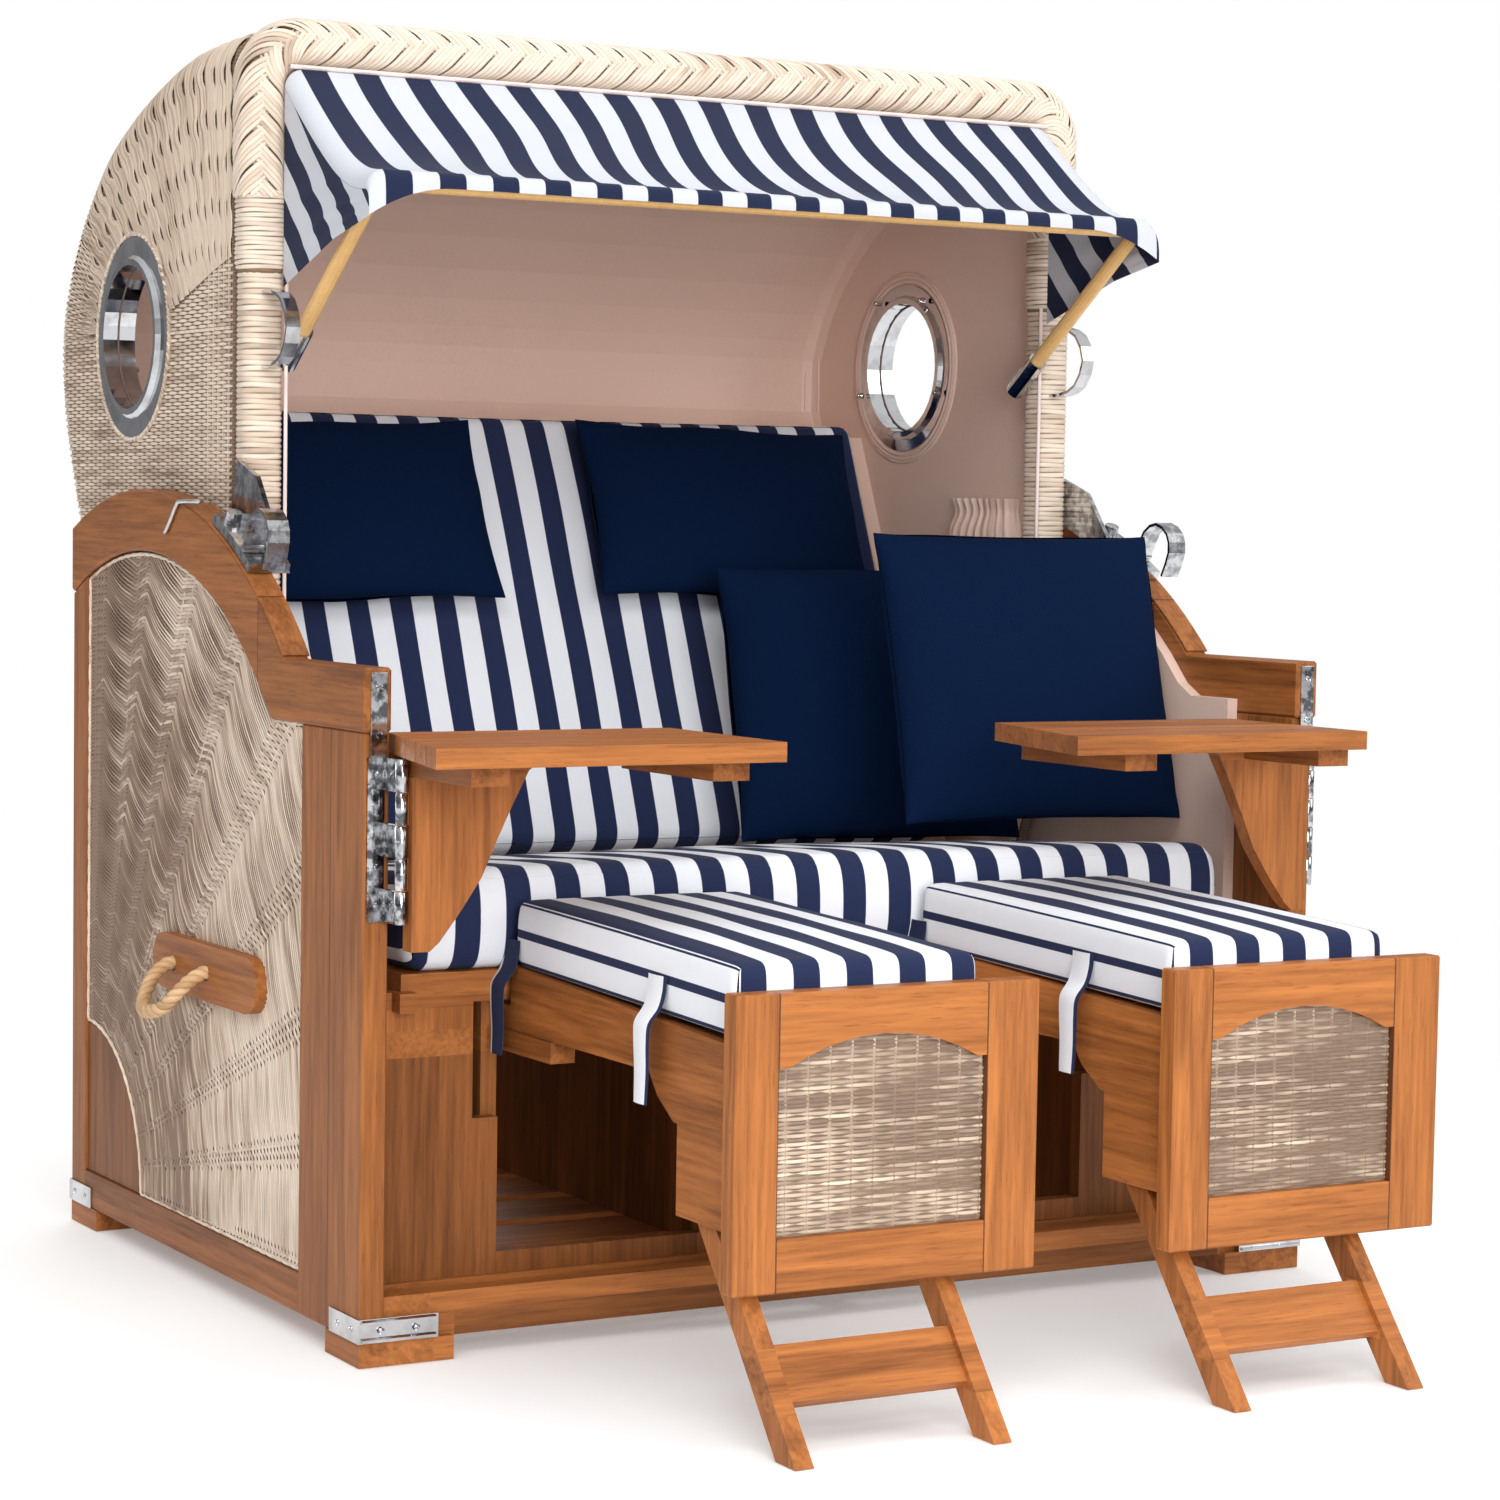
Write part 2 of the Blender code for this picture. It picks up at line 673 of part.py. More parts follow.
def build_table_hinge(root, word, side):
    """The fixed leaf on the front post with its knuckles on the swing axis."""
    face = FRONT - GAP
    outer = HALF - ARM_PROUD
    leaf_y = (face - LEAF_THICKNESS, face)
    leaf_x = span(side, outer - LEAF_WIDTH, outer)
    pieces = [box("table_hinge_" + word, leaf_x, leaf_y, (LEAF_LOW, LEAF_HIGH))]
    axis_x = side * TABLE_HINGE_X
    length = (LEAF_HIGH - LEAF_LOW) / KNUCKLE_COUNT
    for i in range(0, KNUCKLE_COUNT, 2):
        low = LEAF_LOW + i * length
        ends = [(axis_x, TABLE_HINGE_Y, low + z) for z in (0, length - GAP)]
        pieces.append(cylinder("knuckle", KNUCKLE_RADIUS, *ends, steps=10))
        web_x = span(side, TABLE_HINGE_X, TABLE_HINGE_X + KNUCKLE_RADIUS)
        web_y = (TABLE_HINGE_Y, face - LEAF_THICKNESS / 2)
        pieces.append(box("web", web_x, web_y, (low, low + length - GAP)))
    finish(fuse(pieces), "chrome", root)


# Seat


def unit_starts():
    return (("left", UNIT_LEFT_X), ("right", UNIT_RIGHT_X))


def build_seat_frame(root):
    floor = RAIL_TOP + GAP
    board_x = INNER - GAP - GAP
    front = rectangle((-board_x, board_x), (floor, DECK_LOW + LAP))
    pieces = [board("seat_frame", front, "y", DECK_FRONT, DECK_FRONT + FRONT_BOARD)]
    cutters = []
    for word, start in unit_starts():
        left = start + RAIL_INSET
        right = left + BOX_WIDTH
        far = right - CLEAT_WIDTH
        low = [(left - BAY_SLACK, BAY_LOW), (far, BAY_LOW), (far, BAY_SHOULDER)]
        high = [(right + BAY_SLACK, BAY_SHOULDER), (right + BAY_SLACK, BAY_TOP)]
        outline = low + high + [(left - BAY_WING, BAY_TOP), (left - BAY_WING, BAY_SHOULDER)]
        outline += [(left - BAY_SLACK, BAY_SHOULDER)]
        ys = (DECK_FRONT - OVERRUN, DECK_FRONT + FRONT_BOARD + OVERRUN)
        cutters.append(board("bay", outline, "y", *ys))
    carve(pieces[0], cutters)
    pieces.append(box("deck", (-SEAT_HALF, SEAT_HALF), (DECK_FRONT, DECK_BACK), (DECK_LOW, DECK_HIGH)))
    for word, start in unit_starts():
        left = start + RAIL_INSET
        right = left + BOX_WIDTH
        wall_y = (DECK_FRONT + FRONT_BOARD - LAP, DECK_BACK)
        for xs in ((left - RUN_GAP - WALL_THICKNESS, left - RUN_GAP),
                   (right + RUN_GAP, right + RUN_GAP + WALL_THICKNESS)):
            pieces.append(box("wall", xs, wall_y, (floor, DECK_LOW + LAP)))
        for xs in ((left - RUN_GAP - LAP, left + CLEAT_WIDTH),
                   (right - CLEAT_WIDTH, right + RUN_GAP + LAP)):
            pieces.append(box("cleat", xs, (CLEAT_FRONT, DECK_BACK - LAP), (CLEAT_LOW, CLEAT_HIGH)))
    for side in (-1, 1):
        xs = span(side, SEAT_HALF - BLOCK_SIZE / 2, SEAT_HALF + BLOCK_SIZE / 2)
        ys = (DECK_FRONT - BLOCK_SIZE, DECK_FRONT + LAP)
        pieces.append(box("block", xs, ys, (BLOCK_LOW, BLOCK_LOW + BLOCK_SIZE)))
    finish(fuse(pieces), "teak", root, rounded=False)


def rounded_rectangle(width, depth, radius, steps):
    """A rectangle about the origin with round corners, counted from the corner at +X +Y."""
    u = width / 2 - radius
    v = depth / 2 - radius
    outline = []
    for corner, (cu, cv) in enumerate(((u, v), (-u, v), (-u, -v), (u, -v))):
        outline += arc((cu, cv), radius, 90 * corner, 90 * corner + 90, steps)
    return outline


def subdivided(outline, longest):
    """Split an outline's long runs, so that a crown can rise between them."""
    result = []
    for i, point in enumerate(outline):
        following = outline[(i + 1) % len(outline)]
        length = math.dist(point, following)
        parts = max(1, math.ceil(length / longest))
        for k in range(parts):
            t = k / parts
            result.append(tuple(a + (b - a) * t for a, b in zip(point, following)))
    return result


CORNER_SHARE = 0.35
FACET_SHARE = 1.6
SWELL_POWER = 0.42
# Rings of a stuffed cushion from bottom to top: inset and height as shares of its thickness, and
# the share of the crown that is reached there.
CUSHION_SHARES = (
    (0.90, 0.000, 0.0),
    (0.22, 0.000, 0.0),
    (0.05, 0.120, 0.0),
    (0.00, 0.480, 0.0),
    (0.05, 0.860, 0.0),
    (0.16, 0.975, 0.08),
    (0.34, 1.000, 0.38),
    (0.90, 1.000, 0.80),
    (1.70, 1.000, 1.00),
)


def stuffed_cushion(name, width, depth, thickness, crown, placed, wedge=0.0):
    """A boxed cushion: drawn-in sides, soft edges and a crown. placed maps its own frame."""
    corners = rounded_rectangle(width, depth, thickness * CORNER_SHARE, 3)
    outline = subdivided(corners, thickness * FACET_SHARE)
    rings = []
    for inset_share, height_share, crown_share in CUSHION_SHARES:
        inset = inset_share * thickness
        ring = []
        for u, v in outline:
            du = inset * 2 * u / width
            dv = inset * 2 * v / depth
            rise = 1.0 + wedge * v / depth
            z = height_share * thickness * rise + crown_share * crown
            ring.append(placed @ Vector((u - du, v - dv, z)))
        rings.append(ring)
    return loft(name, rings)


def knife_cushion(name, width, height, thickness, placed, count=10, pinch=0.045):
    """A loose cushion: two crowned faces that meet in a seam, with drawn-in sides."""
    marks = [math.sin(math.pi / 2 * (2 * i / count - 1)) for i in range(count + 1)]
    points = []
    index = {}
    for face in (1, -1):
        for i, s in enumerate(marks):
            for j, t in enumerate(marks):
                rim = i in (0, count) or j in (0, count)
                if rim and face < 0:
                    index[face, i, j] = index[1, i, j]
                    continue
                swell = (max(0.0, (1 - s * s) * (1 - t * t))) ** SWELL_POWER
                u = width / 2 * s * (1 - pinch * (1 - t * t))
                v = height / 2 * t * (1 - pinch * (1 - s * s))
                index[face, i, j] = len(points)
                points.append(placed @ Vector((u, v, face * thickness / 2 * swell)))
    faces = []
    for face in (1, -1):
        for i in range(count):
            for j in range(count):
                around = ((i, j), (i + 1, j), (i + 1, j + 1), (i, j + 1))
                faces.append(tuple(index[face, a, b] for a, b in around))
    return mesh_object(name, points, faces)


def build_seat_cushion(root):
    depth = SEAT_BACK - SEAT_FRONT
    middle = (SEAT_BACK + SEAT_FRONT) / 2
    thick = (SEAT_THICK_FRONT + SEAT_THICK_BACK) / 2
    wedge = (SEAT_THICK_BACK - SEAT_THICK_FRONT) / thick
    placed = Matrix.Translation((0, middle, DECK_HIGH + GAP))
    cushion = stuffed_cushion("seat_cushion", 2 * SEAT_HALF, depth, thick, SEAT_CROWN, placed, wedge)
    finish(cushion, "striped_cloth", root)


# The two loose navy cushions: centre along X and Y, height of the lower edge, lean from upright
# and turn about Z, in metres and degrees.
THROW_WIDTH = 0.415
THROW_HEIGHT = 0.390
THROW_THICKNESS = 0.140
THROW_PLACES = {
    "throw_cushion_front": (0.394, -0.262, 0.5562, 16.0, -4.0),
    "throw_cushion_rear": (0.332, 0.034, 0.5090, 18.0, -9.0),
}


def build_throw_cushions(root):
    for name, (x, y, low, lean, turn) in THROW_PLACES.items():
        stand = Matrix.Rotation(math.radians(90 - lean), 4, "X")
        rise = Matrix.Translation((0, THROW_HEIGHT / 2, 0))
        turned_to = Matrix.Rotation(math.radians(turn), 4, "Z")
        placed = Matrix.Translation((x, y, low)) @ turned_to @ stand @ rise
        cushion = knife_cushion(name, THROW_WIDTH, THROW_HEIGHT, THROW_THICKNESS, placed)
        finish(cushion, "navy_cloth", root)


# Hood

# The hood's back line as shares of its reach and of its top height, from the rim to its lower edge.
SPINE_SHARES = (
    (0.0730, 1.0000),
    (0.2820, 0.9955),
    (0.4340, 0.9820),
    (0.6100, 0.9560),
    (0.7540, 0.9230),
    (0.8960, 0.8660),
    (0.9760, 0.8080),
    (1.0000, 0.7620),
    (0.9850, 0.7060),
    (0.9320, 0.6450),
    (0.8700, 0.5860),
    (0.5580, 0.3300),
)


def spine(inset, rounding=0.0):
    """The hood's back line moved inwards. The rounding of the long edges runs out at its end."""
    guides = [(HOOD_REACH * y, HOOD_TOP * z) for y, z in SPINE_SHARES]
    line = smooth_curve([(y, z, 0) for y, z in guides[:-1]], 2)
    line = [Vector((p.x, p.y)) for p in line] + [Vector(guides[-1])]
    moved = []
    for i, point in enumerate(line):
        ahead = line[min(i + 1, len(line) - 1)]
        behind = line[max(i - 1, 0)]
        along = (ahead - behind).normalized()
        depth = inset + (rounding if i < len(line) - 1 else 0.0)
        moved.append(point + Vector((along.y, -along.x)) * depth)
    return [(RIM_DEPTH + GAP, moved[0].y)] + [(p.x, p.y) for p in moved[1:]]


def sill_direction():
    """The direction of the hood's back line at its lower end."""
    ends = [Vector((HOOD_REACH * y, HOOD_TOP * z)) for y, z in SPINE_SHARES[-2:]]
    return (ends[1] - ends[0]).normalized()


def wall_outline(inset, rounding):
    """The outline of the hood's side: its back line, a lobe round the pivot and the front edge."""
    lobe = arc((PIVOT_Y, PIVOT_Z), LOBE_RADIUS - inset, 0, -180, 8)
    return spine(inset, rounding) + lobe + [(RIM_DEPTH + GAP, RIM_LOW)]


def open_outline(inset, rounding):
    """The same back line, run out past the front and the bottom, for a cutter."""
    line = spine(inset, rounding)
    run_out = Vector(line[-1]) + sill_direction() * LOBE_RADIUS * 3
    floor = PIVOT_Z - 2 * LOBE_RADIUS
    return [(-OVERRUN, line[0][1])] + line + [tuple(run_out), (run_out.x, floor), (-OVERRUN, floor)]


def edge_stations(half, radius, steps):
    """Pairs of x and inset that round the two long edges of the hood."""
    stations = []
    for i in range(steps + 1):
        angle = math.pi / 2 * (1 - i / steps)
        stations.append((-half + radius - radius * math.sin(angle), radius - radius * math.cos(angle)))
    return stations + [(-x, inset) for x, inset in reversed(stations)]


def hood_block(name, outline_of, half, inset, radius, steps):
    rings = []
    for x, more in edge_stations(half, radius, steps):
        rings.append([(x, y, z) for y, z in outline_of(inset, more)])
    return triangulated(loft(name, rings))


def triangulated(obj):
    """Split an object's bent quads, so that a Boolean cuts the same faces that it shows."""
    shape = bmesh.new()
    shape.from_mesh(obj.data)
    bent = [face for face in shape.faces if len(face.verts) == 4]
    bmesh.ops.triangulate(shape, faces=bent)
    shape.to_mesh(obj.data)
    shape.free()
    return obj


def underside_cutter(half):
    """Everything below the sill of the backrest, between the hood's side walls."""
    base = backrest_point(0, BACK_CUSHION + GAP)
    sill_end = Vector((HOOD_REACH * SPINE_SHARES[-1][0], HOOD_TOP * SPINE_SHARES[-1][1]))
    corner = Vector((base[0], base[1] - SHELL_THICKNESS))
    far = sill_end + (sill_end - corner)
    floor = PIVOT_Z - 2 * LOBE_RADIUS
    outline = [tuple(corner), tuple(far), (far.x, floor), (-OVERRUN, floor), (-OVERRUN, corner.y)]
    return board("underside", outline, "x", -half, half)


def backrest_point(along, behind):
    """A point on the backrest: distance up its slope and behind its front surface."""
    y = BACK_BOTTOM_Y + along * math.sin(SLOPE) + behind * math.cos(SLOPE)
    z = BACK_BOTTOM_Z + along * math.cos(SLOPE) - behind * math.sin(SLOPE)
    return (y, z)


def cabin_outline(inset, rounding):
    """The space that the sitters use: the back line down to a shelf, then the backrest's slope."""
    line = spine(inset, rounding)
    shelf_back = Vector(backrest_point(BACK_LENGTH, BACK_CUSHION + GAP))
    shelf = shelf_back.y
    kept = [p for p in line if p[1] > shelf + 2 * BACK_WALL]
    edge = kept[-1][0]
    foot = backrest_point(-BACK_CUSHION, BACK_CUSHION + GAP)
    step = [(edge, shelf + BACK_WALL), (edge - BACK_WALL / 2, shelf), tuple(shelf_back)]
    return [(-OVERRUN, kept[0][1])] + kept + step + [foot, (-OVERRUN, foot[1])]


def cavity_cutter():
    """The hollow behind the backrest's board and under its shelf, open at the bottom."""
    behind = BACK_CUSHION + GAP + BACK_BOARD
    head = Vector(backrest_point(BACK_LENGTH - BACK_BOARD, behind))
    foot = backrest_point(-2 * BACK_CUSHION, behind)
    line = [p for p in spine(BACK_WALL) if p[1] < head.y]
    run_out = Vector(line[-1]) + sill_direction() * LOBE_RADIUS * 2
    outline = [foot, tuple(head), (line[0][0], head.y)] + line[1:] + [tuple(run_out)]
    return board("cavity", outline, "x", LAP - WALL_INNER, WALL_INNER - LAP)


def through_holes(radius, y, z, half):
    reach = half + OVERRUN
    return [cylinder("hole", radius, (-reach, y, z), (reach, y, z), steps=32)]


def build_hood_shell(hood):
    skin = HOOD_HALF - SHELL_THICKNESS
    shell = hood_block("hood_shell", wall_outline, HOOD_HALF, 0, HOOD_EDGE, 3)
    edge = HOOD_EDGE - SHELL_THICKNESS
    hollow = hood_block("hollow", open_outline, skin, SHELL_THICKNESS, edge, 3)
    tools = [hollow, underside_cutter(skin)]
    tools += through_holes(PORT_RING + GAP - RING_HEIGHT / 2, PORT_Y, PORT_Z, HOOD_HALF)
    tools += through_holes(PIN_RADIUS + GAP, PIVOT_Y, PIVOT_Z, HOOD_HALF)
    finish(carve(shell, tools), "wicker", hood)

    nest = NEST_GAP
    lining = hood_block("hood_lining", wall_outline, skin - nest, SHELL_THICKNESS + nest, edge - nest, 3)
    cabin = hood_block("cabin", cabin_outline, WALL_INNER, BACK_WALL, WALL_EDGE, 2)
    tools = [underside_cutter(WALL_INNER), cabin, cavity_cutter()]
    tools += through_holes(PORT_RING + GAP - RING_HEIGHT / 2, PORT_Y, PORT_Z, HOOD_HALF)
    tools += through_holes(PIN_RADIUS + GAP, PIVOT_Y, PIVOT_Z, HOOD_HALF)
    finish(carve(lining, tools), "taupe_lining", hood)


def column_face(width):
    """How far the slim part of the rim's column stands back from the full width's face."""
    return width / 2 * (1 - RIM_SLIM_SHARE)


def build_rim(hood):
    """The thick edge roll: two bound columns, the wider wrapped bands and the braid over the top."""
    half = HOOD_HALF - RIM_WIDTH / 2
    middle = RIM_DEPTH / 2
    top = RIM_TOP - RIM_WIDTH / 2
    slim_share, band_share = RIM_SLIM_SHARE, 1.0
    levels = [(RIM_LOW, slim_share), (BAND_LOW - RIM_WIDTH / 4, slim_share), (BAND_LOW, band_share)]
    levels += [(BAND_HIGH, band_share), (BAND_HIGH + RIM_WIDTH / 4, slim_share), (top - RIM_CORNER, 1.0)]
    bend = arc((half - RIM_CORNER, top - RIM_CORNER), RIM_CORNER, 0, 90, 6)[1:]
    right = [((half, z), share) for z, share in levels] + [(p, 1.0) for p in bend]
    left = [((-x, z), share) for (x, z), share in reversed(right)]
    section = rounded_rectangle(RIM_WIDTH, RIM_DEPTH, RIM_DEPTH * 0.36, 3)
    rings = []
    route = right + left
    for i, ((x, z), share) in enumerate(route):
        ahead = route[min(i + 1, len(route) - 1)][0]
        behind = route[max(i - 1, 0)][0]
        along = Vector((ahead[0] - behind[0], 0, ahead[1] - behind[1])).normalized()
        across = along.cross(Vector((0, 1, 0)))
        place = Vector((x, middle, z))
        rings.append([place + across * u * share + Vector((0, v * share, 0)) for u, v in section])
    finish(loft("hood_rim", rings), "wicker", hood)


def build_portholes(hood):
    """A chrome port with a flange on each face of the wall and a tube through it."""
    bore = PORT_BORE
    tube = PORT_RING - RING_HEIGHT / 2
    outside = HOOD_HALF + GAP
    inside = WALL_INNER - GAP
    for word, side in SIDES:
        profile = [
            (inside - RING_HEIGHT, bore),
            (inside - RING_HEIGHT, tube),
            (inside - FLANGE_THICKNESS, PORT_RING),
            (inside - FLANGE_THICKNESS, PORT_INNER_FLANGE),
            (inside, PORT_INNER_FLANGE),
            (inside, tube),
            (outside, tube),
            (outside, PORT_FLANGE),
            (outside + FLANGE_THICKNESS, PORT_FLANGE),
            (outside + FLANGE_THICKNESS, PORT_RING),
            (outside + RING_HEIGHT, tube),
            (outside + RING_HEIGHT, bore),
        ]
        profile = [(side * x, r) for x, r in profile]
        port = turned("porthole_" + word, profile, (0, PORT_Y, PORT_Z), "x", 32)
        finish(port, "chrome", hood)


def strap_loop(name, route, width, thickness, side_axis):
    """A flat strap bent along a route."""
    section = rectangle((-width / 2, width / 2), (-thickness / 2, thickness / 2))
    return rod(name, [Vector(p) for p in route], section, side_axis)


def build_grips(hood):
    """The two chrome straps on the front of the columns, to pull the hood upright by."""
    face = column_face(RIM_DEPTH) - GAP
    reach = GRIP_REACH - GRIP_STRAP / 2 + face
    middle = (GRIP_LOW + GRIP_HIGH) / 2
    rise = (GRIP_HIGH - GRIP_LOW) / 2
    shares = ((0.0, 1.0), (0.34, 0.98), (0.76, 0.74), (1.0, 0.0))
    for word, side in SIDES:
        upper = [(face - y * reach, z * rise) for y, z in shares]
        route = upper + [(y, -z) for y, z in reversed(upper[:-1])]
        line = smooth_curve([(side * GRIP_X, y, middle + z) for y, z in route], 2)
        grip = strap_loop("hood_handle_" + word, line, GRIP_WIDTH, GRIP_STRAP, Vector((1, 0, 0)))
        finish(grip, "chrome", hood)


def back_frame(along, behind, x=0.0):
    """The frame of a cushion on the backrest: its X across, Y up the slope, Z out to the sitter."""
    y, z = backrest_point(along, behind)
    turn = Matrix.Rotation(math.pi / 2 - SLOPE, 4, "X")
    return Matrix.Translation((x, y, z)) @ turn


HEAD_PLACES = (("left", -0.332, 0.460, 2.0), ("right", 0.252, 0.467, -1.5))


def build_back(hood):
    placed = back_frame(BACK_LENGTH / 2, BACK_CUSHION - GAP)
    cushion = stuffed_cushion("back_cushion", 2 * BACK_HALF, BACK_LENGTH, BACK_CUSHION - SEAT_CROWN,
                              SEAT_CROWN - GAP, placed)
    finish(cushion, "striped_cloth", hood)
    for word, x, along, turn in HEAD_PLACES:
        placed = back_frame(along, -HEAD_THICKNESS / 2 - GAP, x)
        placed = placed @ Matrix.Rotation(math.radians(turn), 4, "Z")
        head = knife_cushion("head_cushion_" + word, HEAD_WIDTH, HEAD_HEIGHT, HEAD_THICKNESS, placed, 8)
        finish(head, "navy_cloth", hood)


POCKET_Y = 0.162
POCKET_LOW = 0.780
POCKET_WIDTH = 0.172
POCKET_HEIGHT = 0.195
POCKET_SWELL = 0.022
POCKET_CLOTH = 0.003
# Rings of the pocket from bottom to top: its width, height and swell as shares.
POCKET_SHARES = (
    (1.00, 0.00, 0.25),
    (1.06, 0.35, 0.75),
    (1.00, 0.75, 0.90),
    (0.86, 0.93, 0.55),
    (0.94, 1.00, 0.80),
)


def build_pocket(hood):
    """The gathered cloth pocket on the inside of the right wall."""
    face = WALL_INNER - GAP
    rings = []
    half_turn = [math.pi * i / 10 for i in range(11)]
    for width_share, height_share, swell_share in POCKET_SHARES:
        z = POCKET_LOW + height_share * POCKET_HEIGHT
        half = POCKET_WIDTH / 2 * width_share
        swell = POCKET_SWELL * swell_share
        bulge = [(half * math.cos(a), swell * math.sin(a)) for a in half_turn]
        ring = [(face - POCKET_CLOTH - u, POCKET_Y + v, z) for v, u in bulge]
        rings.append(ring + [(face, POCKET_Y - half, z), (face, POCKET_Y + half, z)])
    finish(loft("side_pocket", rings), "taupe_lining", hood)


# The latch on each side: angles run forward from straight up about the hood's pivot, in degrees.
LATCH_TAIL = 16.0
LATCH_REAR = 21.0
LATCH_FRONT = 32.0
LATCH_FOOT = 0.012
LATCH_PLATE = 0.006
LATCH_RISE = 0.060
KNOB_ANGLE = 23.0
KNOB_RADIUS = 0.0096
EAR_RADIUS = 0.0064
BAIL_ANGLE = 29.5
BAIL_TILT = 60.0
BAIL_WIDTH = 0.026
BAIL_STRAP = 0.004
BAIL_PIN = 0.004
BAIL_LENGTH = 0.062


def latch_radius():
    return ARM_OUTER_RADIUS + STRIP_THICKNESS + 2 * GAP + RUN_GAP


def polar(radius, angle):
    """A point about the hood's pivot, its angle in degrees forward from straight up."""
    a = math.radians(angle)
    return (PIVOT_Y - radius * math.sin(a), PIVOT_Z + radius * math.cos(a))


def build_latches(hood):
    """A chrome shoe on the hood's side that rides over the arm, and the strap bail hinged to it."""
    low = latch_radius()
    high = low + LATCH_FOOT
    for word, side in SIDES:
        wall = HOOD_HALF - column_face(RIM_WIDTH) + GAP
        plate_x = span(side, wall, wall + LATCH_PLATE)
        plate = arm_arc(low, LATCH_TAIL, LATCH_FRONT, 4)
        plate += [polar(low + LATCH_RISE, LATCH_REAR), polar(low + LATCH_RISE, LATCH_TAIL)]
        pieces = [board("latch_hook_" + word, plate, "x", *plate_x)]
        shoe = arm_arc(low, LATCH_REAR, LATCH_FRONT, 3) + arm_arc(high, LATCH_FRONT, LATCH_REAR, 3)
        shoe_x = span(side, wall + LAP, HALF + ARM_PROUD - LAP)
        pieces.append(board("shoe", shoe, "x", *shoe_x))
        knob_x = side * (INNER + HALF) / 2
        ends = [(knob_x, *polar(radius, KNOB_ANGLE)) for radius in (low + LAP, high + LATCH_FOOT)]
        pieces.append(cylinder("knob", KNOB_RADIUS, *ends))
        pin_y, pin_z = polar(high + BAIL_PIN + RUN_GAP, BAIL_ANGLE)
        ear_x = span(side, INNER + GAP, INNER + GAP + BAIL_STRAP)
        ear = [(pin_y + u, pin_z + v) for u, v in circle(EAR_RADIUS, 8)]
        pieces.append(board("ear", ear, "x", *ear_x))
        base_y, base_z = polar(low + LAP, BAIL_ANGLE)
        neck = rectangle((base_y - BAIL_PIN, base_y + BAIL_PIN), (base_z, pin_z))
        pieces.append(board("neck", neck, "x", *ear_x))
        finish(fuse(pieces), "chrome", hood)

        parent = pivot("bail_axis_" + word, (side * (INNER + SIDE_BOARD / 2), pin_y, pin_z), hood)
        build_bail(parent, word, side, pin_y, pin_z)


def build_bail(parent, word, side, pin_y, pin_z):
    """A flat strap bent into a D, with its barrel on the latch's pin."""
    x = side * (INNER + GAP + BAIL_STRAP + GAP + BAIL_WIDTH / 2)
    up = math.radians(BAIL_TILT)
    ahead = Vector((0, -math.cos(up), math.sin(up)))
    across = Vector((0, -math.sin(up), -math.cos(up)))
    start = Vector((x, pin_y, pin_z))
    shares = ((0.0, 0.0), (0.62, 0.02), (0.98, 0.30), (1.0, 0.75), (0.70, 1.02), (0.14, 1.06))
    guides = [start + ahead * BAIL_LENGTH * a + across * BAIL_LENGTH * c for a, c in shares]
    line = smooth_curve(guides, 2)
    strap = strap_loop("latch_bail_" + word, line, BAIL_WIDTH, BAIL_STRAP, Vector((1, 0, 0)))
    ends = [(x + s * BAIL_WIDTH / 2, pin_y, pin_z) for s in (-1, 1)]
    barrel = cylinder("barrel", BAIL_PIN, *ends, steps=12)
    finish(fuse([strap, barrel]), "chrome", parent)


# Awning


def build_awning(hood):
    axis = pivot("awning_axis", (0, STRUT_PIVOT_Y, STRUT_PIVOT_Z), hood)
    foot = Vector((0, STRUT_PIVOT_Y, STRUT_PIVOT_Z))
    head = Vector((0, ROD_Y, ROD_Z))
    along = (head - foot).normalized()
    ends = [(x, ROD_Y, ROD_Z) for x in (-STRUT_X, STRUT_X)]
    pieces = [cylinder("awning_frame", ROD_RADIUS, *ends, steps=12)]
    for side in (-1, 1):
        shift = Vector((side * STRUT_X, 0, 0))
        start = foot + along * SOCKET_FLOOR + shift
        end = head + along * ROD_RADIUS + shift
        pieces.append(cylinder("strut", STRUT_RADIUS, start, end, steps=12))
    finish(fuse(pieces), "pale_wood", axis)

    for word, side in SIDES:
        shift = Vector((side * STRUT_X, 0, 0))
        start = foot + along * SOCKET_FLOOR + shift
        socket = cylinder("strut_socket_" + word, SOCKET_RADIUS, foot - along * SOCKET_RADIUS + shift,
                          foot + along * SOCKET_LENGTH + shift, steps=16)
        hole = cylinder("hole", STRUT_RADIUS + GAP, start - along * GAP,
                        foot + along * (SOCKET_LENGTH + OVERRUN) + shift, steps=16)
        carve(socket, [hole])
        reach = HOOD_HALF - RIM_WIDTH + column_face(RIM_WIDTH) - GAP
        boss_ends = [foot + Vector((side * x, 0, 0)) for x in (STRUT_X, reach)]
        boss = cylinder("boss", BOSS_RADIUS, *boss_ends, steps=12)
        finish(fuse([socket, boss]), "chrome", axis)
    build_cloth(axis)


# Rows of the awning from the rim to its hem: distance forward as a share of the rod's reach, and
# the cloth's height there as a share of its fall from the rim to the rod.
ROW_SHARES = (
    (0.000, 0.000),
    (0.240, 0.300),
    (0.500, 0.585),
    (0.760, 0.845),
    (1.000, 1.000),
    (1.072, 1.035),
    (1.084, 1.130),
    (1.092, 1.210),
)
GUSSET_BACK_Z = 1.205
GUSSET_FRONT_Z = 1.268
CLOTH_SAG = 0.007
CLOTH_WAVES = 5
CLOTH_BEND = 0.024
CLOTH_COLUMNS = 16


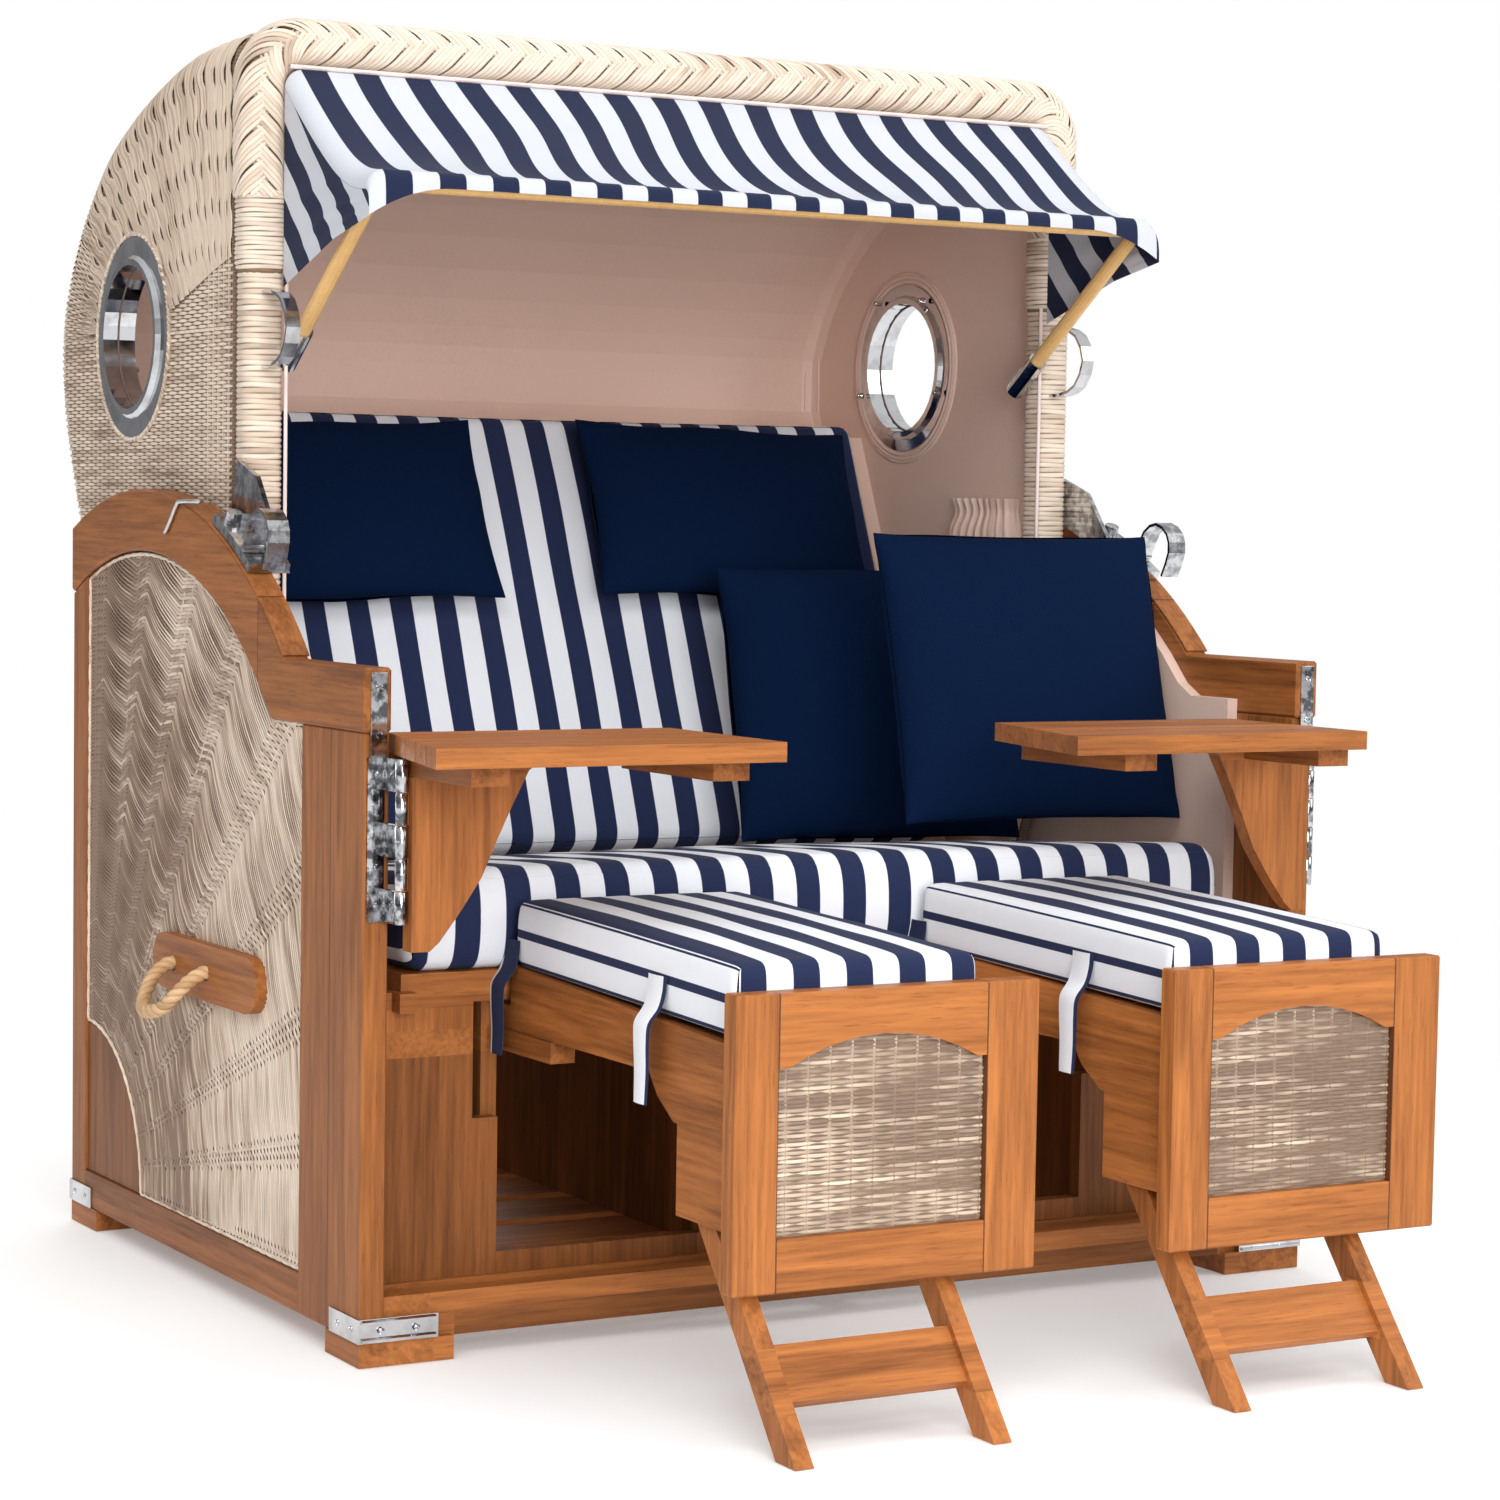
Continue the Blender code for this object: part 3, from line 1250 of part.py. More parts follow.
def build_cloth(axis):
    """The striped canopy: a sloping top with slight folds, and a gusset down each side."""
    rear = Vector((-GAP - CLOTH_THICKNESS / 2, CLOTH_TOP))
    reach = rear.x - ROD_Y
    fall = rear.y - ROD_Z - CLOTH_LIFT
    inner = CLOTH_HALF - CLOTH_THICKNESS / 2
    bend = CLOTH_BEND
    columns = CLOTH_COLUMNS
    rings = []
    for forward_share, fall_share in ROW_SHARES:
        y = rear.x - forward_share * reach
        top = rear.y - fall_share * fall
        blend = min(1.0, forward_share)
        low = GUSSET_BACK_Z + (GUSSET_FRONT_Z - GUSSET_BACK_Z) * blend
        side = [(inner, low), (inner, (low + top - bend) / 2), (inner, top - bend)]
        side += arc((inner - bend, top - bend), bend, 30, 90, 2)
        row = [(x, y, z) for x, z in side]
        flat = 2 * (inner - bend)
        for i in range(1, columns):
            t = i / columns
            lifted = math.sin(math.pi * min(1.0, forward_share))
            fold = math.sin(math.tau * CLOTH_WAVES * t) * 0.35 + 1
            sag = CLOTH_SAG * lifted * math.sin(math.pi * t) ** 0.5 * fold
            row.append((inner - bend - flat * t, y, top - sag))
        row += [(-x, y, z) for x, z in reversed(side)]
        rings.append([Vector(p) for p in row])
    finish(sheet("awning_cloth", rings, CLOTH_THICKNESS), "striped_cloth", axis)


def sheet(name, rows, thickness):
    """A thin closed skin over a grid of points, half its thickness to each face."""
    count = len(rows[0])
    points = [p for row in rows for p in row]
    faces = []
    for r in range(len(rows) - 1):
        for c in range(count - 1):
            a = r * count + c
            faces.append((a, a + 1, a + count + 1, a + count))
    obj = mesh_object(name, points, faces)
    solidify = obj.modifiers.new("Cloth", "SOLIDIFY")
    solidify.thickness = thickness
    solidify.offset = 0.0
    solidify.use_even_offset = False
    return obj


# Tables


def build_table(root, word, side, end_x):
    """A slatted top on two cleats, carried by a gusset that swings on the front post."""
    axis = pivot("table_axis_" + word, (side * TABLE_HINGE_X, TABLE_HINGE_Y, 0), root)
    top = TABLE_TOP_Z
    low = top - TABLE_THICKNESS
    slat_depth = (TABLE_DEPTH - TABLE_SLOT * (TABLE_SLATS - 1)) / TABLE_SLATS
    slant = TABLE_FRONT_LENGTH - TABLE_BACK_LENGTH
    right = end_x + TABLE_BACK_LENGTH
    pieces = []
    for i in range(TABLE_SLATS):
        back = TABLE_BACK_Y - i * (slat_depth + TABLE_SLOT)
        front = back - slat_depth
        back_x = end_x - slant * (TABLE_BACK_Y - back) / TABLE_DEPTH
        front_x = end_x - slant * (TABLE_BACK_Y - front) / TABLE_DEPTH
        outline = [(back_x, back), (front_x, front), (right, front), (right, back)]
        pieces.append(board("slat", outline, "z", low, top))
    cleat_y = (TABLE_CLEAT_FRONT, TABLE_CLEAT_BACK)
    if side < 0:
        carried = KNUCKLE_RADIUS + 2 * RUN_GAP - TABLE_HINGE_X
    else:
        carried = right - TABLE_CLEAT_WIDTH
    other = right - TABLE_CLEAT_WIDTH - TABLE_CLEAT_INSET if side < 0 else end_x + TABLE_CLEAT_INSET
    for start in (carried, other):
        xs = (start, start + TABLE_CLEAT_WIDTH)
        pieces.append(box("cleat", xs, cleat_y, (low - TABLE_CLEAT, low + LAP)))
    table = fuse(pieces)
    table.name = "table_top_" + word
    finish(table, "teak", axis, rounded=False)

    outer = TABLE_HINGE_X - KNUCKLE_RADIUS - RUN_GAP
    reach = TABLE_HINGE_X - GUSSET_REACH
    step = min(abs(carried), abs(carried + TABLE_CLEAT_WIDTH)) - GAP
    cleat_low = low - TABLE_CLEAT - GAP
    foot = outer - GUSSET_THICKNESS
    head = low - GAP
    drop = head - GUSSET_LOW
    outline = [(outer, GUSSET_LOW), (outer, cleat_low), (step, cleat_low), (step, head)]
    outline += [(foot - (foot - reach) * u, head - drop * v) for u, v in GUSSET_EDGE_SHARES]
    outline = [(side * x, z) for x, z in outline]
    ys = (TABLE_HINGE_Y - GUSSET_THICKNESS / 2, TABLE_HINGE_Y + GUSSET_THICKNESS / 2)
    pieces = [board("table_bracket_" + word, outline, "y", *ys)]
    length = (LEAF_HIGH - LEAF_LOW) / KNUCKLE_COUNT
    for i in range(1, KNUCKLE_COUNT, 2):
        base = LEAF_LOW + i * length
        ends = [(side * TABLE_HINGE_X, TABLE_HINGE_Y, base + z) for z in (0, length - GAP)]
        pieces.append(cylinder("knuckle", KNUCKLE_RADIUS, *ends, steps=10))
        xs = span(side, outer - LAP, TABLE_HINGE_X)
        ys = (TABLE_HINGE_Y - LEAF_THICKNESS / 2, TABLE_HINGE_Y + LEAF_THICKNESS / 2)
        pieces.append(box("web", xs, ys, (base, base + length - GAP)))
    finish(fuse(pieces), "teak", axis, rounded=False)


# Footrests


def build_footrest(root, word, start):
    slide = pivot("footrest_slide_" + word, (start, DECK_FRONT, DECK_LOW), root)
    rear_face = PANEL_FRONT + PANEL_THICKNESS
    outline = rectangle((start, start + PANEL_WIDTH), (PANEL_LOW, PANEL_HIGH))
    panel = board("footrest_box_" + word, outline, "y", PANEL_FRONT, rear_face)
    soften(panel, LAP)
    window = window_outline(start, 0)
    carve(panel, [board("window", window, "y", PANEL_FRONT - OVERRUN, rear_face + OVERRUN)])

    left = start + RAIL_INSET
    right = left + BOX_WIDTH
    under = CLEAT_HIGH + GAP
    run, rise = EAR_END - EAR_START, under - EAR_LOW
    rail = [(rear_face - LAP, EAR_LOW)]
    rail += [(EAR_START + run * u, EAR_LOW + rise * v) for u, v in EAR_SHARES]
    rail += [(RAIL_BACK, under), (RAIL_BACK, RAIL_NECK_TOP), (FOOT_CUSHION_BACK, RAIL_NECK_TOP)]
    rail += [(FOOT_CUSHION_BACK - LAP, RAIL_BACK_TOP), (rear_face - LAP, RAIL_FRONT_TOP)]
    pieces = [panel]
    for xs in ((left, left + RAIL_THICKNESS), (right - RAIL_THICKNESS, right)):
        pieces.append(board("rail", rail, "x", *xs))
    slope = (RAIL_BACK_TOP - RAIL_FRONT_TOP) / (FOOT_CUSHION_BACK - rear_face)
    run = FOOT_CUSHION_BACK - LAP - rear_face
    pitch = run / BOX_SLATS
    for i in range(BOX_SLATS):
        y0 = rear_face + i * pitch + SLAT_SETBACK
        y1 = rear_face + (i + 1) * pitch - SLAT_END
        z0 = RAIL_FRONT_TOP + slope * (y0 - rear_face) - LAP
        z1 = RAIL_FRONT_TOP + slope * (y1 - rear_face) - LAP
        slat = [(y0, z0 - BOX_SLAT), (y1, z1 - BOX_SLAT), (y1, z1), (y0, z0)]
        pieces.append(board("slat", slat, "x", left + LAP, right - LAP))
    batten_back = LEG_PIVOT_Y + LEG_WIDTH
    batten = rectangle((rear_face - LAP, batten_back), (LEG_PIVOT_Z - LEG_WIDTH, EAR_LOW + LAP))
    inner_left = start + LEG_INSET - GAP
    inner_right = start + LEG_INSET + LEG_SPREAD + LEG_THICKNESS + GAP
    for xs in ((left, inner_left), (inner_right, right)):
        if xs[1] - xs[0] > LAP:
            pieces.append(board("batten", batten, "x", *xs))
    for inner, far in ((inner_left - LAP, start + LEG_INSET + LEG_THICKNESS),
                       (inner_right + LAP, start + LEG_INSET + LEG_SPREAD)):
        ends = [(x, LEG_PIVOT_Y, LEG_PIVOT_Z) for x in (inner, far)]
        pieces.append(cylinder("pin", PIN_LEG, *ends, steps=12))
    finish(fuse(pieces), "teak", slide, rounded=False)

    outline = window_outline(start, GAP)
    middle = PANEL_FRONT + PANEL_THICKNESS / 2
    insert = board("footrest_wicker_" + word, outline, "y", middle - INSERT_THICKNESS / 2,
                   middle + INSERT_THICKNESS / 2)
    finish(insert, "wicker", slide)
    build_foot_cushion(slide, word, start, rear_face, slope)
    build_legs(slide, word, start)


def window_outline(start, slack):
    """The arched window of the front panel, with a small flat shoulder at each springing."""
    left = start + STILE_LEFT + slack
    right = start + PANEL_WIDTH - STILE_RIGHT - slack
    half = (right - left) / 2 - WINDOW_SHOULDER
    rise = WINDOW_TOP - WINDOW_SPRING
    radius = (half * half + rise * rise) / (2 * rise)
    reach = math.degrees(math.asin(half / radius))
    centre = ((left + right) / 2, WINDOW_TOP - slack - radius)
    outline = [(left, WINDOW_LOW + slack), (right, WINDOW_LOW + slack), (right, WINDOW_SPRING - slack)]
    outline += arc(centre, radius, 90 - reach, 90 + reach, 10)
    return outline + [(left, WINDOW_SPRING - slack)]


def build_foot_cushion(slide, word, start, rear_face, slope):
    """The boxed cushion on the footrest, tilted with its rails."""
    left = start + RAIL_INSET
    right = left + BOX_WIDTH + CUSHION_LAP
    front = rear_face + GAP
    length = FOOT_CUSHION_BACK - front
    tilt = math.atan(slope)
    low = (RAIL_FRONT_TOP + RAIL_BACK_TOP) / 2 + LAP
    placed = Matrix.Translation(((left + right) / 2, (front + FOOT_CUSHION_BACK) / 2, low))
    placed = placed @ Matrix.Rotation(tilt, 4, "X")
    cushion = stuffed_cushion("footrest_cushion_" + word, right - left, length * math.cos(tilt) - LAP,
                              FOOT_CUSHION_THICK, SEAT_CROWN / 2, placed)
    finish(cushion, "striped_cloth", slide)


def build_legs(slide, word, start):
    """Two legs and their crossbar, turning on pins behind the panel."""
    axis = pivot("leg_axis_" + word, (start, LEG_PIVOT_Y, LEG_PIVOT_Z), slide)
    tip = Vector((LEG_TIP_Y, 0))
    head = Vector((LEG_PIVOT_Y, LEG_PIVOT_Z))
    along = (tip - head).normalized()
    across = Vector((-along.y, along.x))
    half = LEG_WIDTH / 2

    def floor_point(side):
        edge = head + across * half * side
        return tuple(edge + along * (edge.y / -along.y))

    turn = math.degrees(math.atan2(across.y, across.x))
    outline = [floor_point(-1), floor_point(1)]
    outline += arc(tuple(head), half, turn, turn + 180, 8)
    pieces = []
    for inset in (LEG_INSET, LEG_INSET + LEG_SPREAD):
        leg = board("leg", outline, "x", start + inset, start + inset + LEG_THICKNESS)
        reaches = (-OVERRUN, LEG_THICKNESS + OVERRUN)
        ends = [(start + inset + reach, LEG_PIVOT_Y, LEG_PIVOT_Z) for reach in reaches]
        pieces.append(carve(leg, [cylinder("hole", PIN_LEG + GAP, *ends, steps=12)]))
    bar_half = CROSSBAR_THICKNESS / 2
    ends = []
    for z in (CROSSBAR_LOW, CROSSBAR_HIGH):
        centre = head + along * ((head.y - z) / -along.y)
        ends.append(centre)
    bar = [ends[0] - across * bar_half, ends[1] - across * bar_half, ends[1] + across * bar_half,
           ends[0] + across * bar_half]
    xs = (start + LEG_INSET + LAP, start + LEG_INSET + LEG_SPREAD + LEG_THICKNESS - LAP)
    pieces.append(board("crossbar", [tuple(p) for p in bar], "x", *xs))
    legs = fuse(pieces)
    legs.name = "footrest_legs_" + word
    finish(legs, "teak", axis, rounded=False)


def build_chair():
    tip = LEG_TIP_Y - LEG_TOE
    shift = -(tip + HOOD_REACH) / 2
    root = pivot("beach_chair", (0, 0, 0))
    build_base_frame(root)
    build_sides(root)
    build_seat_frame(root)
    build_seat_cushion(root)
    build_throw_cushions(root)
    hood = pivot("hood_axis", (0, PIVOT_Y, PIVOT_Z), root)
    build_hood_shell(hood)
    build_rim(hood)
    build_portholes(hood)
    build_grips(hood)
    build_back(hood)
    build_pocket(hood)
    build_latches(hood)
    build_awning(hood)
    build_table(root, "left", -1, LEFT_TABLE_END)
    build_table(root, "right", 1, RIGHT_TABLE_END)
    for word, start in unit_starts():
        build_footrest(root, word, start)
    root.location = (0, shift, 0)


build_chair()
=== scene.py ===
import json
import math

import bmesh
import bpy
import numpy as np
from mathutils import Matrix, Vector


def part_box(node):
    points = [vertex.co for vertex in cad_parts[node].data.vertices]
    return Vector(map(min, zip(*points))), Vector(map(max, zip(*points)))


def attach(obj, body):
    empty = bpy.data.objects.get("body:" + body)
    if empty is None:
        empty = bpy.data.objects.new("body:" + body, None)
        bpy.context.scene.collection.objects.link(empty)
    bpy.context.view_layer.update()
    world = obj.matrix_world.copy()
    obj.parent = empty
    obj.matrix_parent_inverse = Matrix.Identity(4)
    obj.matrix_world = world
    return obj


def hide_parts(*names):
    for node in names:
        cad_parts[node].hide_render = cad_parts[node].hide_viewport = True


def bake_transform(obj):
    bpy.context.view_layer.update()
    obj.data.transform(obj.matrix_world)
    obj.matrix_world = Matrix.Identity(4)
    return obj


# A hooded beach chair for two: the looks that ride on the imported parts
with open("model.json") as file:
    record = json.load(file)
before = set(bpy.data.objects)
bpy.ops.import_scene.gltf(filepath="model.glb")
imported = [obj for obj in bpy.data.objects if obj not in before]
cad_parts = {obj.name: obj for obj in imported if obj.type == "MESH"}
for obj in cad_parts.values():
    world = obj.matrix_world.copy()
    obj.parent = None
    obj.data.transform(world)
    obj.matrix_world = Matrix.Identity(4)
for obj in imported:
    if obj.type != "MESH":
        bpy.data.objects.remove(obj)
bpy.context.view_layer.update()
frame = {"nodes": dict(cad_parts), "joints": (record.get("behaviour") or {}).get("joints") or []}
nodes = frame["nodes"]
joints = {joint["name"]: joint for joint in frame["joints"]}
baseY = joints["hood_recline"]["pos_m"][1] - 0.22  # the base's middle in the row frame
sides = (("left", -1), ("right", 1))
print("frame loaded")

# Camera, light and floor

shot = {
    "place": (-2.2543, -4.1386 + baseY, 0.9443),
    "turn": -29.53,
    "tilt": 3.9575,
    "roll": -0.929,
    "lens": 87.81,
    "shift": (0.0065, 0.0132),
}


def makeCamera():
    turn, tilt, roll = (math.radians(shot[k]) for k in ("turn", "tilt", "roll"))
    ahead = Vector((-math.sin(turn) * math.cos(tilt), math.cos(turn) * math.cos(tilt), -math.sin(tilt)))
    right = Vector((math.cos(turn), math.sin(turn), 0))
    down = ahead.cross(right)
    across = right * math.cos(roll) + down * math.sin(roll)
    lower = down * math.cos(roll) - right * math.sin(roll)
    data = bpy.data.cameras.new("camera")
    data.lens = shot["lens"]
    data.sensor_width = 36
    data.shift_x, data.shift_y = shot["shift"]
    camera = bpy.data.objects.new("camera", data)
    bpy.context.scene.collection.objects.link(camera)
    basis = Matrix((across, -lower, -ahead)).transposed().to_4x4()
    camera.matrix_world = Matrix.Translation(shot["place"]) @ basis
    bpy.context.scene.camera = camera


light = {
    "key": {"place": (-3.4, -4.4, 4.4), "size": 2.6, "power": 128},
    "fill": {"place": (4.2, -3.4, 2.6), "size": 3.2, "power": 66},
    "front": {"place": (-1.2, -4.6, 1.3), "size": 2.4, "power": 132},
    "top": {"place": (0.3, -0.6, 4.8), "size": 3.6, "power": 58},
    "rear": {"place": (1.5, 4.6, 3.2), "size": 3.0, "power": 76},
    "sky": 0.76,
    "floor": (0.80, 0.80, 0.80),
    "glow": 0.22,
    "fade": (0.9, 2.4),  # the floor turns plain white between these distances
}


def makeLights():
    for name in ("key", "fill", "front", "top", "rear"):
        lamp = bpy.data.lights.new(name, "AREA")
        lamp.shape = "DISK"
        lamp.size = light[name]["size"]
        lamp.energy = light[name]["power"]
        held = bpy.data.objects.new(name, lamp)
        place = Vector(light[name]["place"])
        held.location = place
        held.rotation_euler = (Vector((0, 0, 0.6)) - place).to_track_quat("-Z", "Y").to_euler()
        bpy.context.scene.collection.objects.link(held)
    world = bpy.data.worlds.new("studio")
    bpy.context.scene.world = world
    world.use_nodes = True
    tree = world.node_tree
    tree.nodes.clear()
    way = addNode(tree, "ShaderNodeTexCoord").outputs["Generated"]
    height = addNode(tree, "ShaderNodeSeparateXYZ", {0: way})
    bands = calc(tree, "SINE", calc(tree, "MULTIPLY", height.outputs["X"], 7.0))
    lift = calc(tree, "MULTIPLY_ADD", bands, 0.16, height.outputs["Z"])
    tone = ramp(tree, lift, ((0.0, (0.30, 0.30, 0.31)), (0.22, (0.48, 0.48, 0.49)), (0.5, (1.0, 1.0, 1.0))))
    seen = addNode(tree, "ShaderNodeLightPath").outputs["Is Camera Ray"]
    soft = addNode(tree, "ShaderNodeBackground", {"Color": tone, "Strength": light["sky"]})
    plain = addNode(tree, "ShaderNodeBackground", {"Color": (1, 1, 1, 1), "Strength": 1.0})
    both = addNode(tree, "ShaderNodeMixShader", {0: seen, 1: soft.outputs[0], 2: plain.outputs[0]})
    addNode(tree, "ShaderNodeOutputWorld", {"Surface": both.outputs[0]})
    mesh = bpy.data.meshes.new("studioFloor")
    reach = 14.0
    corners = [(x * reach, y * reach, -0.001) for x, y in ((-1, -1), (1, -1), (1, 1), (-1, 1))]
    mesh.from_pydata(corners, [], [(0, 1, 2, 3)])
    floor = bpy.data.objects.new("studioFloor", mesh)
    bpy.context.scene.collection.objects.link(floor)
    paint, shader = newMaterial("floorPaint", roughness=0.8)
    speck = addNode(paint.node_tree, "ShaderNodeTexNoise", {"Scale": 3.0, "Detail": 2.0})
    pale = (*light["floor"], 1)
    colour = mixColour(paint.node_tree, speck.outputs["Fac"], pale, tuple(0.985 * c for c in pale[:3]) + (1,))
    way = addNode(paint.node_tree, "ShaderNodeVectorMath", {0: objectPlace(paint.node_tree)},
                  operation="LENGTH")
    near, far = light["fade"]
    away = addNode(paint.node_tree, "ShaderNodeMapRange", {0: way.outputs["Value"], 1: near, 2: far},
                   interpolation_type="SMOOTHSTEP").outputs[0]
    colour = mixColour(paint.node_tree, away, colour, (0, 0, 0))
    paint.node_tree.links.new(colour, shader.inputs["Base Color"])
    glow = mixColour(paint.node_tree, away, (light["glow"],) * 3, (1, 1, 1))
    paint.node_tree.links.new(glow, shader.inputs["Emission Color"])
    shader.inputs["Emission Strength"].default_value = 1.0
    shader.inputs["Specular IOR Level"].default_value = 0.0
    mesh.materials.append(paint)
    bpy.context.scene.view_settings.view_transform = "Standard"


# Node helpers

def isSocket(value):
    return isinstance(value, bpy.types.NodeSocket)


def addNode(tree, kind, inputs=None, **settings):
    node = tree.nodes.new(kind)
    for name, value in settings.items():
        setattr(node, name, value)
    for name, value in (inputs or {}).items():
        if isSocket(value):
            tree.links.new(value, node.inputs[name])
        else:
            node.inputs[name].default_value = value
    return node


def calc(tree, operation, *values, clamp=False):
    node = addNode(tree, "ShaderNodeMath", operation=operation, use_clamp=clamp)
    for socket, value in zip(node.inputs, values):
        if isSocket(value):
            tree.links.new(value, socket)
        else:
            socket.default_value = value
    return node.outputs[0]


def mixColour(tree, factor, first, second, blend="MIX"):
    node = addNode(tree, "ShaderNodeMix", data_type="RGBA", blend_type=blend)
    for index, value in ((0, factor), (6, first), (7, second)):
        if isSocket(value):
            tree.links.new(value, node.inputs[index])
        elif index:
            node.inputs[index].default_value = tuple(value)[:3] + (1,)
        else:
            node.inputs[index].default_value = value
    return node.outputs[2]


def mixVector(tree, factor, first, second):
    node = addNode(tree, "ShaderNodeMix", data_type="VECTOR")
    for index, value in ((0, factor), (4, first), (5, second)):
        tree.links.new(value, node.inputs[index])
    return node.outputs[1]


def ramp(tree, value, stops):
    node = addNode(tree, "ShaderNodeValToRGB", {"Fac": value})
    band = node.color_ramp
    while len(band.elements) < len(stops):
        band.elements.new(0.5)
    for element, (place, tone) in zip(band.elements, stops):
        element.position = place
        shade = tone if hasattr(tone, "__len__") else (tone, tone, tone)
        element.color = (*shade[:3], 1)
    return node.outputs["Color"]


def combine(tree, x, y, z=0.0):
    return addNode(tree, "ShaderNodeCombineXYZ", {0: x, 1: y, 2: z}).outputs[0]


def noise(tree, vector, scale, detail=2.0, rough=0.5, distortion=0.0):
    settings = {"Vector": vector, "Scale": scale, "Detail": detail, "Roughness": rough,
                "Distortion": distortion}
    return addNode(tree, "ShaderNodeTexNoise", settings).outputs["Fac"]


def split(tree, vector):
    return addNode(tree, "ShaderNodeSeparateXYZ", {0: vector}).outputs


def newGroup(name, inputs, outputs):
    tree = bpy.data.node_groups.new(name, "ShaderNodeTree")
    for label, kind, value in inputs:
        socket = tree.interface.new_socket(name=label, in_out="INPUT", socket_type="NodeSocket" + kind)
        if value is not None:
            socket.default_value = value
    for label, kind in outputs:
        tree.interface.new_socket(name=label, in_out="OUTPUT", socket_type="NodeSocket" + kind)
    inside = tree.nodes.new("NodeGroupInput")
    result = tree.nodes.new("NodeGroupOutput")
    return tree, inside.outputs, result.inputs


def groupNode(tree, group, inputs):
    node = tree.nodes.new("ShaderNodeGroup")
    node.node_tree = group
    for name, value in inputs.items():
        if isSocket(value):
            tree.links.new(value, node.inputs[name])
        elif hasattr(value, "__len__") and len(value) == 3 and len(node.inputs[name].default_value) == 4:
            node.inputs[name].default_value = (*value, 1)
        else:
            node.inputs[name].default_value = value
    return node.outputs


def newMaterial(name, roughness=0.6, metallic=0.0, **extras):
    material = bpy.data.materials.new(name)
    material.use_nodes = True
    shader = material.node_tree.nodes["Principled BSDF"]
    shader.inputs["Roughness"].default_value = roughness
    shader.inputs["Metallic"].default_value = metallic
    for label, value in extras.items():
        shader.inputs[label.replace("_", " ")].default_value = value
    return material, shader


def addBump(material, shader, height, strength, distance):
    tree = material.node_tree
    settings = {"Height": height, "Strength": strength, "Distance": distance}
    tree.links.new(addNode(tree, "ShaderNodeBump", settings).outputs[0], shader.inputs["Normal"])


def objectPlace(tree):
    return addNode(tree, "ShaderNodeTexCoord").outputs["Object"]


def meshUv(tree, name="Flat"):
    return addNode(tree, "ShaderNodeUVMap", uv_map=name).outputs[0]


# Shared effects

def makeStrandGroup():
    tree, given, result = newGroup(
        "caneStrand",
        (
            ("Vector", "Vector", None),
            ("Place", "Vector", None),
            ("Pale", "Color", (0.74, 0.59, 0.43, 1)),
            ("Middle", "Color", (0.55, 0.41, 0.28, 1)),
            ("Brown", "Color", (0.20, 0.125, 0.075, 1)),
            ("Brownness", "Float", 0.0),
            ("Strand", "Float", 1.0),
        ),
        (("Color", "Color"), ("Height", "Float"), ("Roughness", "Float")),
    )
    u, v, _ = split(tree, given["Vector"])
    index = calc(tree, "FLOOR", v)
    along = calc(tree, "MULTIPLY", u, 6.5)
    streak = noise(tree, combine(tree, along, calc(tree, "MULTIPLY", index, 7.31)), 1.0, 2.5, 0.55)
    slow = noise(tree, given["Place"], 5.0, 1.5)
    shade = calc(tree, "MULTIPLY_ADD", slow, 0.45, calc(tree, "MULTIPLY", streak, 0.75))
    shade = calc(tree, "ADD", shade, given["Brownness"])
    first = addNode(tree, "ShaderNodeMapRange", {0: shade, 1: 0.50, 2: 0.66}).outputs[0]
    second = addNode(tree, "ShaderNodeMapRange", {0: shade, 1: 0.64, 2: 0.80}).outputs[0]
    colour = mixColour(tree, first, given["Pale"], given["Middle"])
    colour = mixColour(tree, second, colour, given["Brown"])
    fine = combine(tree, calc(tree, "MULTIPLY", u, 45.0), calc(tree, "MULTIPLY", v, 7.0))
    fibre = noise(tree, fine, 1.0, 3.0)
    # painted shade: each strand darkens towards its edges, where it turns down into the gap beside the next
    across = calc(tree, "ABSOLUTE", calc(tree, "SUBTRACT", calc(tree, "FRACT", v), 0.5))
    edge = addNode(tree, "ShaderNodeMapRange", {0: across, 1: 0.28, 2: 0.5}).outputs[0]
    tint = ramp(tree, fibre, ((0.25, 0.86), (0.7, 1.08)))
    colour = mixColour(tree, 1.0, colour, tint, "MULTIPLY")
    edgeShadeAmount = calc(tree, "MULTIPLY", edge, calc(tree, "MULTIPLY", given["Strand"], 0.55))
    colour = mixColour(tree, edgeShadeAmount, colour, (0.10, 0.06, 0.035))
    tree.links.new(colour, result["Color"])
    tree.links.new(fibre, result["Height"])
    tree.links.new(calc(tree, "MULTIPLY_ADD", fibre, 0.2, 0.42), result["Roughness"])
    return tree


